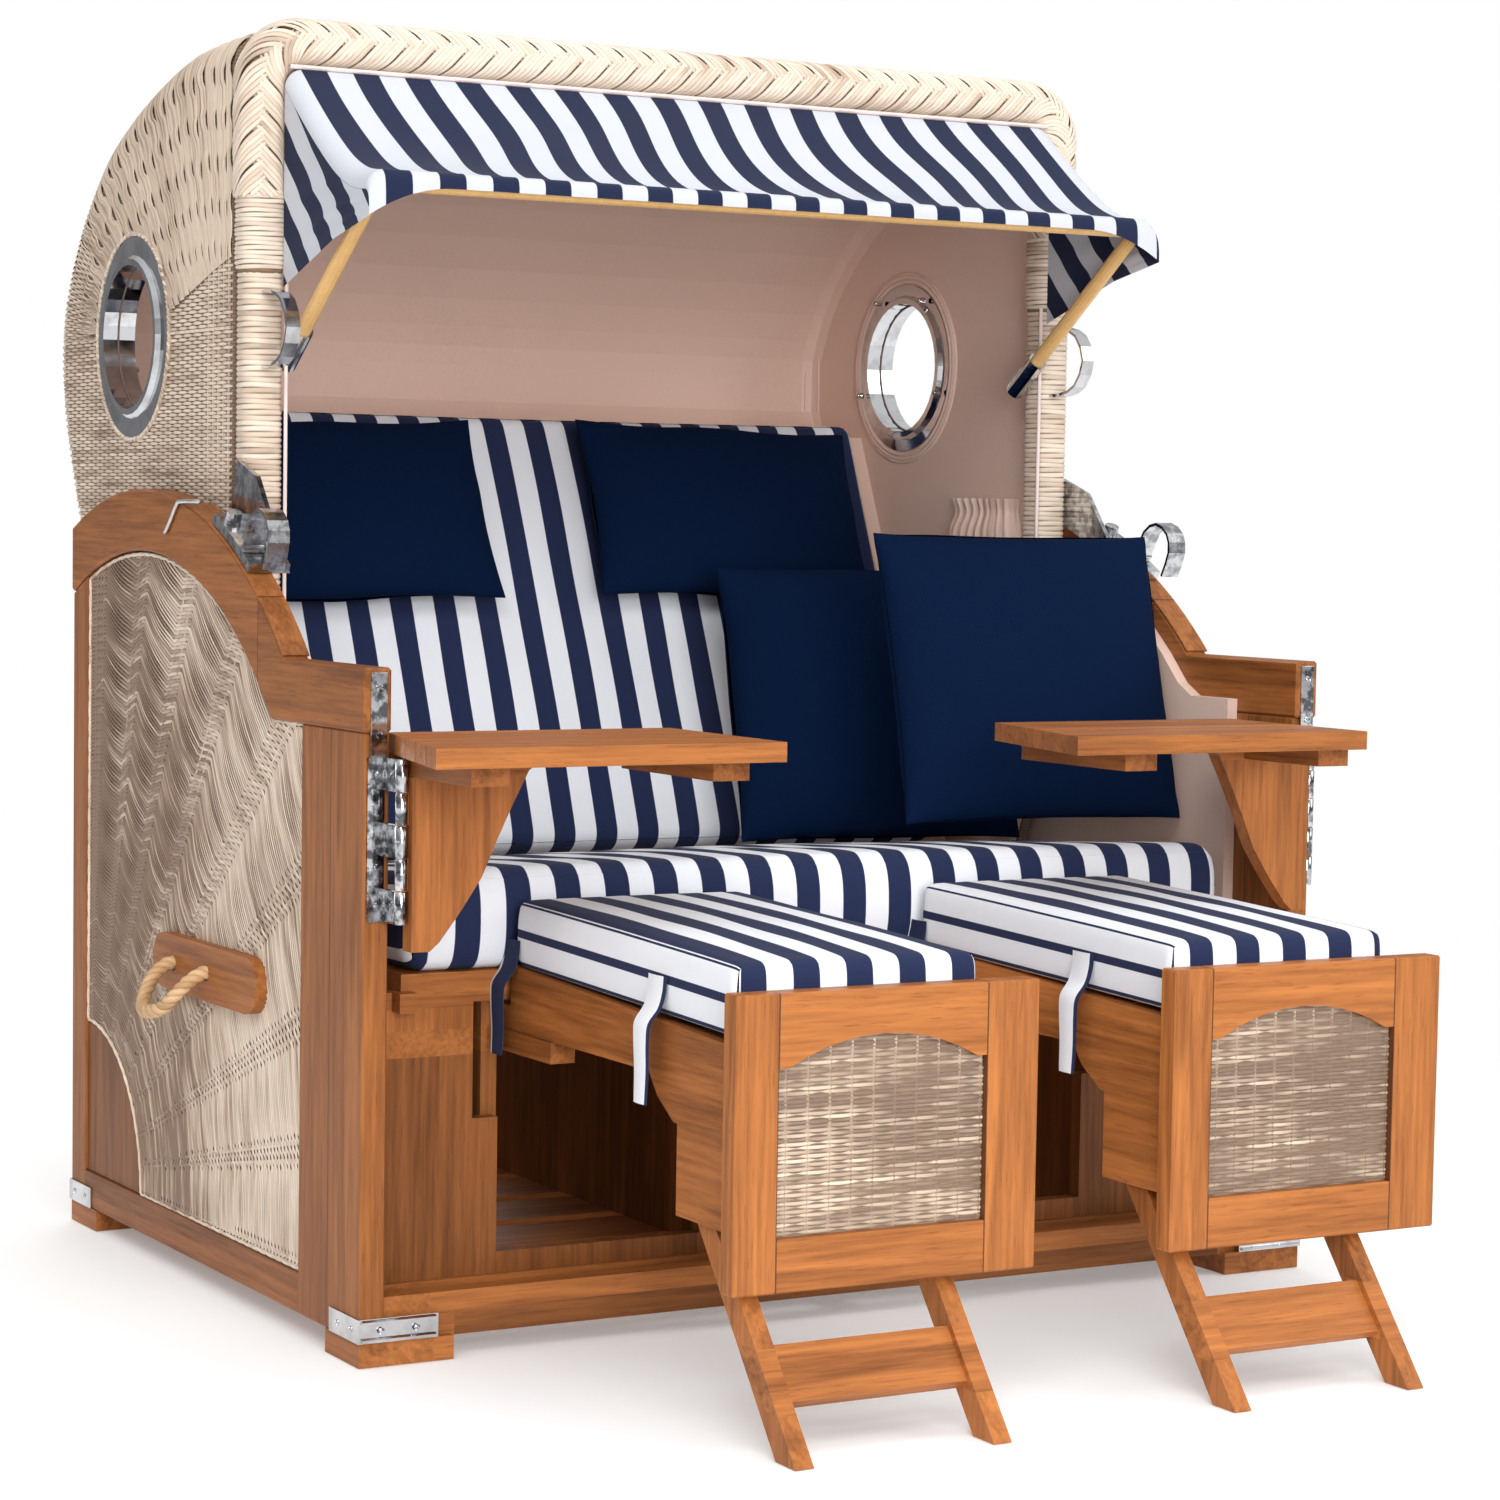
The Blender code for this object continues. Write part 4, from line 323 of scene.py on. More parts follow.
def makeGrainGroup():
    tree, given, result = newGroup(
        "woodGrain",
        (
            ("Vector", "Vector", None),
            ("Light", "Color", (0.60, 0.25, 0.085, 1)),
            ("Dark", "Color", (0.22, 0.07, 0.022, 1)),
            ("Figure", "Float", 1.0),
        ),
        (("Color", "Color"), ("Height", "Float"), ("Roughness", "Float")),
    )
    x, y, z = split(tree, given["Vector"])

    def stretched(along, across):
        return combine(tree, calc(tree, "MULTIPLY", x, along), calc(tree, "MULTIPLY", y, across),
                       calc(tree, "MULTIPLY", z, across))

    broad = noise(tree, stretched(0.9, 15.0), 1.0, 3.0, 0.55, 0.4)
    rings = calc(tree, "SINE", calc(tree, "MULTIPLY", broad, 34.0))
    rings = calc(tree, "MULTIPLY_ADD", rings, 0.5, 0.5)
    fibre = noise(tree, stretched(9.0, 190.0), 1.0, 4.0, 0.6)
    pores = noise(tree, stretched(30.0, 520.0), 1.0, 2.0, 0.5)
    patch = noise(tree, stretched(1.0, 4.0), 1.0, 2.0)
    tone = calc(tree, "MULTIPLY_ADD", rings, 0.13, calc(tree, "MULTIPLY", broad, 0.40))
    tone = calc(tree, "MULTIPLY_ADD", fibre, 0.50, tone)
    tone = calc(tree, "MULTIPLY_ADD", patch, 0.24, tone)
    share = addNode(tree, "ShaderNodeMapRange", {0: tone, 1: 0.40, 2: 0.98}).outputs[0]
    share = calc(tree, "MULTIPLY", share, given["Figure"])
    colour = mixColour(tree, share, given["Light"], given["Dark"])
    speck = addNode(tree, "ShaderNodeMapRange", {0: pores, 1: 0.60, 2: 0.72}).outputs[0]
    speck = calc(tree, "MULTIPLY", speck, 0.45)
    colour = mixColour(tree, speck, colour, given["Dark"])
    tree.links.new(colour, result["Color"])
    height = calc(tree, "MULTIPLY_ADD", fibre, 0.6, calc(tree, "MULTIPLY", pores, -0.5))
    tree.links.new(height, result["Height"])
    tree.links.new(calc(tree, "MULTIPLY_ADD", fibre, 0.22, 0.36), result["Roughness"])
    return tree


def makeWeaveGroup():
    tree, given, result = newGroup(
        "clothWeave",
        (("Vector", "Vector", None), ("Thread", "Float", 0.0011), ("Slub", "Float", 0.5)),
        (("Height", "Float"), ("Shade", "Color")),
    )
    u, v, _ = split(tree, given["Vector"])
    over = []
    for c in (u, v):
        turn = calc(tree, "DIVIDE", calc(tree, "MULTIPLY", c, math.pi), given["Thread"])
        over.append(calc(tree, "SINE", turn))
    grid = calc(tree, "MULTIPLY_ADD", calc(tree, "MULTIPLY", *over), 0.5, 0.5)
    fine = combine(tree, calc(tree, "MULTIPLY", u, 900.0), calc(tree, "MULTIPLY", v, 90.0))
    slub = noise(tree, fine, 1.0, 2.0)
    coarse = combine(tree, calc(tree, "MULTIPLY", u, 12.0), calc(tree, "MULTIPLY", v, 12.0))
    slow = noise(tree, coarse, 1.0, 3.0)
    height = calc(tree, "MULTIPLY_ADD", calc(tree, "MULTIPLY", slub, given["Slub"]), 0.8, grid)
    tree.links.new(height, result["Height"])
    tint = calc(tree, "MULTIPLY_ADD", grid, 0.10, calc(tree, "MULTIPLY_ADD", slow, 0.16, 0.84))
    tint = calc(tree, "MULTIPLY_ADD", slub, 0.08, tint)
    tree.links.new(ramp(tree, tint, ((0.0, 0.0), (1.0, 1.0))), result["Shade"])
    return tree


def makeStripeGroup():
    tree, given, result = newGroup(
        "deckStripes",
        (
            ("Vector", "Vector", None),
            ("Period", "Float", 0.064),
            ("Start", "Float", 0.0),
            ("Share", "Float", 0.5),
            ("White", "Color", (0.77, 0.79, 0.835, 1)),
            ("Navy", "Color", (0.010, 0.018, 0.062, 1)),
        ),
        (("Color", "Color"), ("Mask", "Float")),
    )
    u = split(tree, given["Vector"])[0]
    turns = calc(tree, "ADD", calc(tree, "DIVIDE", u, given["Period"]), given["Start"])
    part = calc(tree, "FRACT", calc(tree, "ADD", turns, 64.0))
    offset = calc(tree, "ABSOLUTE", calc(tree, "SUBTRACT", part, 0.5))
    half = calc(tree, "MULTIPLY", given["Share"], 0.5)
    gap = calc(tree, "SUBTRACT", half, offset)
    mask = addNode(tree, "ShaderNodeMapRange", {0: gap, 1: -0.006, 2: 0.006}).outputs[0]
    tree.links.new(mixColour(tree, mask, given["White"], given["Navy"]), result["Color"])
    tree.links.new(mask, result["Mask"])
    return tree


def makeHideGroup():
    tree, given, result = newGroup(
        "hideGrain",
        (("Vector", "Vector", None), ("Scale", "Float", 420.0), ("Color", "Color", (0.44, 0.29, 0.23, 1))),
        (("Color", "Color"), ("Height", "Float"), ("Roughness", "Float")),
    )
    cells = addNode(tree, "ShaderNodeTexVoronoi", {"Vector": given["Vector"], "Scale": given["Scale"]},
                    feature="SMOOTH_F1").outputs["Distance"]
    slow = noise(tree, given["Vector"], 4.0, 3.0)
    fine = noise(tree, given["Vector"], 160.0, 3.0)
    tint = calc(tree, "MULTIPLY_ADD", slow, 0.20, calc(tree, "MULTIPLY_ADD", fine, 0.10, 0.85))
    shade = ramp(tree, tint, ((0.0, 0.0), (1.0, 1.0)))
    tree.links.new(mixColour(tree, 1.0, given["Color"], shade, "MULTIPLY"), result["Color"])
    tree.links.new(calc(tree, "MULTIPLY_ADD", fine, 0.5, cells), result["Height"])
    tree.links.new(calc(tree, "MULTIPLY_ADD", slow, 0.15, 0.46), result["Roughness"])
    return tree


def makeSmudgeGroup():
    tree, given, result = newGroup(
        "handledMetal",
        (("Vector", "Vector", None), ("Low", "Float", 0.07), ("High", "Float", 0.24), ("Mottle", "Float", 0.0)),
        (("Color", "Color"), ("Roughness", "Float"), ("Height", "Float")),
    )
    slow = noise(tree, given["Vector"], 22.0, 4.0, 0.6)
    x, y, z = split(tree, given["Vector"])
    brushed = combine(tree, *(calc(tree, "MULTIPLY", c, k) for c, k in ((x, 900.0), (y, 60.0), (z, 60.0))))
    fine = noise(tree, brushed, 1.0, 2.0)
    mask = addNode(tree, "ShaderNodeMapRange", {0: slow, 1: 0.45, 2: 0.75}).outputs[0]
    spread = calc(tree, "SUBTRACT", given["High"], given["Low"])
    tree.links.new(calc(tree, "MULTIPLY_ADD", mask, spread, given["Low"]), result["Roughness"])
    blots = noise(tree, given["Vector"], 75.0, 3.0, 0.6)
    blots = addNode(tree, "ShaderNodeMapRange", {0: blots, 1: 0.44, 2: 0.58}).outputs[0]
    colour = mixColour(tree, mask, (0.66, 0.67, 0.69), (0.40, 0.40, 0.41))
    colour = mixColour(tree, calc(tree, "MULTIPLY", blots, given["Mottle"]), colour, (0.06, 0.06, 0.07))
    tree.links.new(colour, result["Color"])
    tree.links.new(fine, result["Height"])
    return tree


groups = {}


def makeGroups():
    groups["strand"] = makeStrandGroup()
    groups["grain"] = makeGrainGroup()
    groups["weave"] = makeWeaveGroup()
    groups["stripe"] = makeStripeGroup()
    groups["hide"] = makeHideGroup()
    groups["metal"] = makeSmudgeGroup()


# Materials

caneTones = {"pale": (0.80, 0.655, 0.515), "middle": (0.56, 0.425, 0.315), "brown": (0.21, 0.135, 0.088)}
creamTones = {"pale": (0.81, 0.68, 0.55), "middle": (0.62, 0.48, 0.37), "brown": (0.27, 0.175, 0.12)}


def caneMaterial(name, brownness=0.0, backAxis=None, strand=1.0, tones=caneTones):
    material, shader = newMaterial(name, roughness=0.5)
    tree = material.node_tree
    place = objectPlace(tree)
    lean = brownness
    if backAxis:  # browner towards the back
        start, end, more = backAxis
        y = split(tree, place)[1]
        span = addNode(tree, "ShaderNodeMapRange", {0: y, 1: start, 2: end, 3: 0.0, 4: more}).outputs[0]
        lean = calc(tree, "ADD", span, brownness)
    # strand sets how deep the painted shade along each strand's edges is
    made = groupNode(tree, groups["strand"], {
        "Vector": meshUv(tree), "Place": place, "Pale": tones["pale"], "Middle": tones["middle"],
        "Brown": tones["brown"], "Brownness": lean, "Strand": strand})
    tree.links.new(made["Color"], shader.inputs["Base Color"])
    tree.links.new(made["Roughness"], shader.inputs["Roughness"])
    addBump(material, shader, made["Height"], 0.35, 0.0006)
    return material


def caneShadow(name, tone=(0.115, 0.072, 0.042)):
    # the dark layer behind the strands, painted shade for the gaps of the weave, with the under-strands drawn
    # in
    material, shader = newMaterial(name, roughness=0.75)
    tree = material.node_tree
    place = objectPlace(tree)
    z = split(tree, place)[2]
    rows = calc(tree, "SINE", calc(tree, "MULTIPLY", z, 1400.0))
    blot = noise(tree, place, 60.0, 3.0)
    share = calc(tree, "MULTIPLY", calc(tree, "MULTIPLY_ADD", rows, 0.5, 0.5), blot)
    colour = mixColour(tree, share, tone, tuple(2.1 * c for c in tone))
    tree.links.new(colour, shader.inputs["Base Color"])
    addBump(material, shader, share, 0.6, 0.0012)
    return material


teakTones = {"light": (0.505, 0.178, 0.046), "dark": (0.135, 0.041, 0.010)}


def woodMaterial(name, along, zones=(), lines=(), tones=teakTones, figure=1.15, coat=0.04):
    # zones: (grain axis, tone shift, ((component, low, high), ...)); lines: (component, place, limits)
    material, shader = newMaterial(name, roughness=0.42)
    shader.inputs["Coat Weight"].default_value = coat
    shader.inputs["Coat Roughness"].default_value = 0.28
    shader.inputs["Specular IOR Level"].default_value = 0.2
    tree = material.node_tree
    parts = split(tree, objectPlace(tree))
    axes = {"x": parts[0], "y": parts[1], "z": parts[2]}

    def turned(axis, seed):
        order = {"x": "xyz", "y": "yxz", "z": "zxy"}[axis]
        moved = calc(tree, "ADD", axes[order[0]], 3.7 * seed)
        shifted = calc(tree, "ADD", axes[order[1]], 1.9 * seed)
        return combine(tree, moved, shifted, axes[order[2]])

    def inside(limits):
        mask = None
        for component, low, high in limits:
            value = axes[component[-1]]
            if component.startswith("abs"):
                value = calc(tree, "ABSOLUTE", value)
            over = calc(tree, "GREATER_THAN", value, low)
            here = calc(tree, "MULTIPLY", over, calc(tree, "LESS_THAN", value, high))
            mask = here if mask is None else calc(tree, "MULTIPLY", mask, here)
        return mask

    vector = turned(along, 0)
    shift = None
    for seed, (axis, tone, limits) in enumerate(zones, 1):
        mask = inside(limits)
        vector = mixVector(tree, mask, vector, turned(axis, seed))
        shift = calc(tree, "MULTIPLY_ADD", mask, tone, shift if shift is not None else 0.0)
    made = groupNode(tree, groups["grain"], {"Vector": vector, "Light": tones["light"], "Dark": tones["dark"],
                                            "Figure": figure})
    colour = made["Color"]
    # the tone shifts carry the boards' own tones, and for the deck and the boards inside the seat box, painted
    # shade
    if shift is not None:
        toneAndShade = calc(tree, "ADD", shift, 1.0)
        colour = mixColour(tree, 1.0, colour, combine(tree, toneAndShade, toneAndShade, toneAndShade), "MULTIPLY")
    seam = None
    for component, place, limits in lines:
        near = calc(tree, "ABSOLUTE", calc(tree, "SUBTRACT", axes[component], place))
        here = addNode(tree, "ShaderNodeMapRange", {0: near, 1: 0.0013, 2: 0.0005}).outputs[0]
        if limits:
            here = calc(tree, "MULTIPLY", here, inside(limits))
        seam = here if seam is None else calc(tree, "MAXIMUM", seam, here)
    height = made["Height"]
    if seam is not None:
        colour = mixColour(tree, calc(tree, "MULTIPLY", seam, 0.8), colour, (0.05, 0.018, 0.008))
        height = calc(tree, "SUBTRACT", height, calc(tree, "MULTIPLY", seam, 3.0))
    tree.links.new(colour, shader.inputs["Base Color"])
    tree.links.new(made["Roughness"], shader.inputs["Roughness"])
    addBump(material, shader, height, 0.30, 0.0005)
    return material


def metalMaterial(name, low=0.06, high=0.2, bump=0.05, mottle=0.0):
    material, shader = newMaterial(name, roughness=0.12, metallic=1.0)
    tree = material.node_tree
    made = groupNode(tree, groups["metal"], {
        "Vector": objectPlace(tree), "Low": low, "High": high, "Mottle": mottle})
    tree.links.new(made["Color"], shader.inputs["Base Color"])
    tree.links.new(made["Roughness"], shader.inputs["Roughness"])
    addBump(material, shader, made["Height"], bump, 0.0002)
    return material


def hideMaterial(name, tone=(0.74, 0.535, 0.445)):
    material, shader = newMaterial(name, roughness=0.5)
    shader.inputs["Sheen Weight"].default_value = 0.08
    tree = material.node_tree
    made = groupNode(tree, groups["hide"], {"Vector": objectPlace(tree), "Color": tone})
    tree.links.new(made["Color"], shader.inputs["Base Color"])
    tree.links.new(made["Roughness"], shader.inputs["Roughness"])
    addBump(material, shader, made["Height"], 0.25, 0.0007)
    return material


def clothMaterial(name, stripes=None, tone=None, thread=0.0012, bump=0.35):
    material, shader = newMaterial(name, roughness=0.9)
    shader.inputs["Sheen Weight"].default_value = 0.03 if stripes else 0.0
    shader.inputs["Specular IOR Level"].default_value = 0.3 if stripes else 0.05
    tree = material.node_tree
    uv = meshUv(tree)
    weave = groupNode(tree, groups["weave"], {"Vector": uv, "Thread": thread})
    if stripes:
        colour = groupNode(tree, groups["stripe"], {"Vector": uv, **stripes})["Color"]
    else:
        colour = tone
    colour = mixColour(tree, 1.0, colour, weave["Shade"], "MULTIPLY")
    tree.links.new(colour, shader.inputs["Base Color"])
    addBump(material, shader, weave["Height"], bump, 0.0004)
    return material


paint = {}


def makeMaterials():
    paint["cane"] = caneMaterial("caneHood", -0.05, (0.30, 0.85, 0.05))
    paint["caneBack"] = caneMaterial("caneHoodBack", 0.02)
    paint["caneBase"] = caneMaterial("caneBase", -0.02, (0.0, 0.60, 0.30), strand=0.8, tones=creamTones)
    paint["caneWindow"] = caneMaterial("caneWindow", 0.16)
    paint["caneWrap"] = caneMaterial("caneWrap", -0.03, strand=1.0, tones=creamTones)
    paint["caneBraid"] = caneMaterial("caneBraid", -0.06, strand=1.25, tones=creamTones)
    # dark backings: painted shade seen through the gaps between the strands
    paint["caneShadow"] = caneShadow("caneShadow", (0.185, 0.128, 0.090))
    paint["caneGap"] = caneShadow("caneGap", (0.15, 0.094, 0.062))
    paint["caneCore"] = caneShadow("caneCore", (0.16, 0.105, 0.062))
    paint["metal"] = metalMaterial("polishedSteel")
    paint["castMetal"] = metalMaterial("castSteel", 0.12, 0.34, 0.2, 0.55)
    paint["hingeMetal"] = metalMaterial("hingeSteel", 0.08, 0.22, 0.1, 0.85)
    paint["hide"] = hideMaterial("taupeHide")
    paint["piping"] = hideMaterial("taupePiping", (0.74, 0.54, 0.46))
    paint["pocket"] = hideMaterial("pocketHide", (0.68, 0.49, 0.41))
    paint["palePiping"] = hideMaterial("palePiping", (0.80, 0.66, 0.62))
    paint["seam"] = hideMaterial("seamShade", (0.16, 0.10, 0.08))
    paint["seatStripes"] = clothMaterial("seatStripes", {"Period": 0.064, "Start": 0.20})
    paint["backStripes"] = clothMaterial("backStripes", {"Period": 0.063, "Start": 0.42})
    paint["leftStripes"] = clothMaterial("leftFootStripes", {"Period": 0.064, "Start": 0.50})
    paint["rightStripes"] = clothMaterial("rightFootStripes", {"Period": 0.064, "Start": 0.18})
    paint["awningStripes"] = clothMaterial("awningStripes", {
        "Period": 0.068, "Start": 0.10, "White": (0.56, 0.58, 0.63, 1), "Navy": (0.0075, 0.014, 0.046, 1)})
    paint["footBand"] = clothMaterial("footBand", {"Period": 0.0385, "Start": 0.44, "Share": 0.25})
    paint["whiteStrap"] = clothMaterial("strapWhite", {"Period": 0.05, "Start": 0.85, "Share": 0.15})
    paint["navyStrap"] = clothMaterial("strapNavy", {"Period": 0.05, "Start": 0.56, "Share": 0.72})
    paint["navy"] = clothMaterial("navyCanvas", tone=(0.0018, 0.0088, 0.034), thread=0.0014)
    ropeTones = {"pale": (0.66, 0.43, 0.23), "middle": (0.50, 0.30, 0.14), "brown": (0.30, 0.165, 0.07)}
    paint["rope"] = caneMaterial("hempRope", 0.0, strand=0.5, tones=ropeTones)


wood = {
    "side_frame": {"along": "z", "zones": [("z", -0.20, (("z", 0.0, 1.2),)),
                                           ("y", 0.05, (("y", -0.115, 0.606), ("z", 0.0, 0.075)))],
                   "lines": [("y", -0.200, (("z", 0.0, 0.703),)), ("z", 0.075, (("y", -0.115, 0.607),))]},
    "arm": {"along": "y", "zones": [("y", -0.16, (("y", -0.9, 0.012),)), ("y", -0.10, (("y", 0.012, 0.8),))],
            "lines": [("y", 0.012, ())]},
    # the deck between the sides, under the seat, is darkened by 0.42: painted shade
    "base_frame": {"along": "x", "zones": [("y", -0.05, (("absx", 0.560, 0.66),)),
                                           ("x", -0.42, (("z", 0.0, 0.052), ("absx", 0.0, 0.53)))]},
    # the seat box boards between z 0.05 and 0.33 are darkened by 0.40: painted shade inside the seat box
    "seat_frame": {"along": "z",
                   "zones": [("z", -0.40, (("z", 0.05, 0.33),)), ("x", 0.04, (("z", 0.385, 0.43),)),
                                           ("y", -0.1, (("z", 0.33, 0.36),))]},
    "fan_corner": {"along": "z", "zones": [("z", -0.45, (("z", 0.0, 0.4),))]},
    "handle_board": {"along": "y", "zones": [("y", -0.10, (("z", 0.3, 0.5),))]},
    "table_top": {"along": "x", "zones": [("y", -0.08, (("z", 0.6, 0.678),))]},
    "table_bracket": {"along": "z", "zones": [("x", 0.04, (("z", 0.655, 0.68),))]},
    "footrest_legs": {"along": "z", "zones": [("x", 0.06, (("z", 0.046, 0.104),))]},
}


def dressFrame():
    for kind, values in wood.items():
        material = woodMaterial("teak_" + kind, **values)
        for name, node in nodes.items():
            if name.startswith(kind):
                node.material_slots[0].material = material
    for word, low, high in (("left", -0.405, -0.153), ("right", 0.138, 0.390)):
        front = ("y", -0.80, -0.752)
        zones = [("z", 0.03, (front,)), ("x", 0.03, (front, ("x", low, high)))]
        lines = [("x", low, (front,)), ("x", high, (front,))]
        material = woodMaterial("teak_footrest_" + word, "y", zones, lines)
        nodes["footrest_box_" + word].material_slots[0].material = material
    tones = {"light": (0.80, 0.50, 0.20), "dark": (0.52, 0.27, 0.09)}
    strut = woodMaterial("paleStrut", "y", tones=tones, figure=0.6, coat=0.4)
    nodes["awning_frame"].material_slots[0].material = strut
    for name, node in nodes.items():
        old = node.material_slots[0].material.name.split(".")[0]
        if old == "chrome":
            finish = "castMetal" if "latch" in name else "hingeMetal" if "hinge" in name else "metal"
            node.material_slots[0].material = paint[finish]
        elif old == "taupe_lining":
            node.material_slots[0].material = paint["hide"]
        elif old == "wicker":
            # the solid wicker parts behind the strands get a dark backing, painted shade in the gaps
            shadeBacking = "caneCore" if name == "hood_rim" else "caneGap" if "panel" in name else "caneShadow"
            node.material_slots[0].material = paint[shadeBacking]


# Mesh helpers

def toRow(points):
    moved = np.array(points, float)
    moved[..., 1] += baseY
    return moved


def addMesh(name, points, faces, uv, material, body, smooth=True):
    mesh = bpy.data.meshes.new(name)
    points = np.asarray(points, np.float32).reshape(-1, 3)
    faces = np.asarray(faces, np.int32).reshape(-1, 4)
    mesh.vertices.add(len(points))
    mesh.vertices.foreach_set("co", points.ravel())
    mesh.loops.add(faces.size)
    mesh.loops.foreach_set("vertex_index", faces.ravel())
    mesh.polygons.add(len(faces))
    mesh.polygons.foreach_set("loop_start", np.arange(len(faces), dtype=np.int32) * 4)
    mesh.update(calc_edges=True)
    if uv is not None:
        layer = mesh.uv_layers.new(name="Flat")
        layer.data.foreach_set("uv", np.asarray(uv, np.float32)[faces.ravel()].ravel())
    mesh.polygons.foreach_set("use_smooth", np.full(len(faces), smooth))
    mesh.materials.append(material)
    mesh.validate()
    return addPiece(name, mesh, body)


def addPiece(name, mesh, body):
    piece = bpy.data.objects.new(name, mesh)
    bpy.context.scene.collection.objects.link(piece)
    if body:
        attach(piece, body)
    return piece


def unit(vectors):
    return vectors / np.maximum(np.linalg.norm(vectors, axis=-1, keepdims=True), 1e-9)


def ribbons(name, runs, material, body):
    # runs: (points, normals, half widths, crown height, strand number); one half-round ribbon each
    points, uvs, faces = [], [], []
    start = 0
    for place, normal, half, crown, number in runs:
        count = len(place)
        if count < 2:
            continue
        tangent = unit(np.gradient(place, axis=0))
        across = unit(np.cross(normal, tangent)) * np.reshape(half, (-1, 1))
        middle = place + normal * np.reshape(crown, (-1, 1))
        points.append(np.stack((place - across, middle, place + across), 1).reshape(-1, 3))
        along = np.concatenate(([0.0], np.cumsum(np.linalg.norm(np.diff(place, axis=0), axis=1))))
        uv = np.empty((count, 3, 2))
        uv[:, :, 0] = along[:, None]
        uv[:, :, 1] = number + np.array((0.02, 0.5, 0.98))
        uvs.append(uv.reshape(-1, 2))
        row = start + 3 * np.arange(count - 1)[:, None] + np.arange(2)[None, :]
        faces.append(np.stack((row, row + 3, row + 4, row + 1), -1).reshape(-1, 4))
        start += 3 * count
    points, faces, uvs = (np.concatenate(group) for group in (points, faces, uvs))
    return addMesh(name, points, faces, uvs, material, body)


def frames(path, closed=False):
    # a direction along a path and two square to it, carried without twisting
    tangent = np.gradient(path, axis=0)
    if closed:
        tangent = np.roll(path, -1, 0) - np.roll(path, 1, 0)
    tangent = unit(tangent)
    side = np.empty_like(path)
    first = np.cross(tangent[0], (0.0, 0.0, 1.0))
    if np.linalg.norm(first) < 0.1:
        first = np.cross(tangent[0], (0.0, 1.0, 0.0))
    side[0] = unit(first)
    for i in range(1, len(path)):
        carried = side[i - 1] - tangent[i] * np.dot(side[i - 1], tangent[i])
        side[i] = unit(carried)
    return tangent, side, np.cross(tangent, side)


def tubes(name, paths, radius, material, body, around=8, closed=False, flatten=1.0):
    points, uvs, faces = [], [], []
    start = 0
    angles = np.linspace(0, math.tau, around + 1)
    for number, path in enumerate(paths):
        path = np.asarray(path, float)
        if closed:
            path = np.concatenate((path, path[:1]))
        _, side, up = frames(path)
        if closed:
            side[-1], up[-1] = side[0], up[0]
        radii = np.broadcast_to(np.asarray(radius, float), len(path))[:, None, None]
        ring = side[:, None] * np.cos(angles)[None, :, None]
        ring = ring + up[:, None] * np.sin(angles)[None, :, None] * flatten
        points.append((path[:, None] + ring * radii).reshape(-1, 3))
        along = np.concatenate(([0.0], np.cumsum(np.linalg.norm(np.diff(path, axis=0), axis=1))))
        uv = np.empty((len(path), around + 1, 2))
        uv[..., 0] = along[:, None]
        uv[..., 1] = number + 0.02 + 0.96 * (np.linspace(0, 1, around + 1))[None, :]
        uvs.append(uv.reshape(-1, 2))
        wide = around + 1
        row = start + wide * np.arange(len(path) - 1)[:, None] + np.arange(around)[None, :]
        faces.append(np.stack((row, row + 1, row + wide + 1, row + wide), -1).reshape(-1, 4))
        start += len(path) * wide
    points, faces, uvs = (np.concatenate(group) for group in (points, faces, uvs))
    return addMesh(name, points, faces, uvs, material, body)


def smoothPath(points, steps):
    guides = np.asarray(points, float)
    guides = np.concatenate((2 * guides[:1] - guides[1:2], guides, 2 * guides[-1:] - guides[-2:-1]))
    t = (np.arange(steps) / steps)[:, None]
    made = []
    for a, b, c, d in zip(guides, guides[1:], guides[2:], guides[3:]):
        made.append((2 * b + (c - a) * t + (2 * a - 5 * b + 4 * c - d) * t ** 2
                     + (3 * b - a - 3 * c + d) * t ** 3) / 2)
    return np.concatenate(made + [guides[-2:-1]])


def resample(path, count):
    gaps = np.linalg.norm(np.diff(path, axis=0), axis=1)
    along = np.concatenate(([0.0], np.cumsum(gaps)))
    marks = np.linspace(0, along[-1], count)
    return np.stack([np.interp(marks, along, path[:, i]) for i in range(path.shape[1])], 1)


def pathLength(path):
    return np.linalg.norm(np.diff(path, axis=0), axis=1).sum()


def arcPoints(centre, radius, start, end, count):
    angles = np.radians(np.linspace(start, end, count))
    return np.stack((centre[0] + radius * np.cos(angles), centre[1] + radius * np.sin(angles)), 1)


# Hood weave

hood = {
    "half": 0.600,
    "edge": 0.040,  # rounding between the side and the back
    "front": 0.0465,
    "spine": ((0.0505, 1.517), (0.1951, 1.5102), (0.3003, 1.4897), (0.4221, 1.4503), (0.5218, 1.4002),
              (0.6200, 1.3137), (0.6754, 1.2257), (0.6920, 1.1560), (0.6816, 1.0710), (0.6449, 0.9785),
              (0.6020, 0.8890), (0.3861, 0.5006)),
    "pitch": 0.0047,
    "stake": 0.0168,
    "blockStake": 0.054,
    "blockBundle": 8,
    "blockRear": 0.62,  # the slits fade out towards this line
    "pinch": 0.0050,
    "boundary": ((0.0465, 1.2480), (0.0994, 1.2358), (0.2353, 1.1953), (0.388, 1.163)),
    "port": (0.388, 1.163),
    "portGap": 0.1275,
}


def hoodOutline(count):
    guides = np.array(hood["spine"])
    line = smoothPath(guides[:-1], 8)
    line = np.concatenate((line, guides[-1:]))
    return resample(line[::-1], count)  # from the sill up and over to the front


def keepRuns(keep):
    # the stretches of samples that are kept, as slices
    edges = np.flatnonzero(np.diff(np.concatenate(([0], keep.astype(int), [0]))))
    return [slice(a, b) for a, b in zip(edges[::2], edges[1::2]) if b - a > 2]


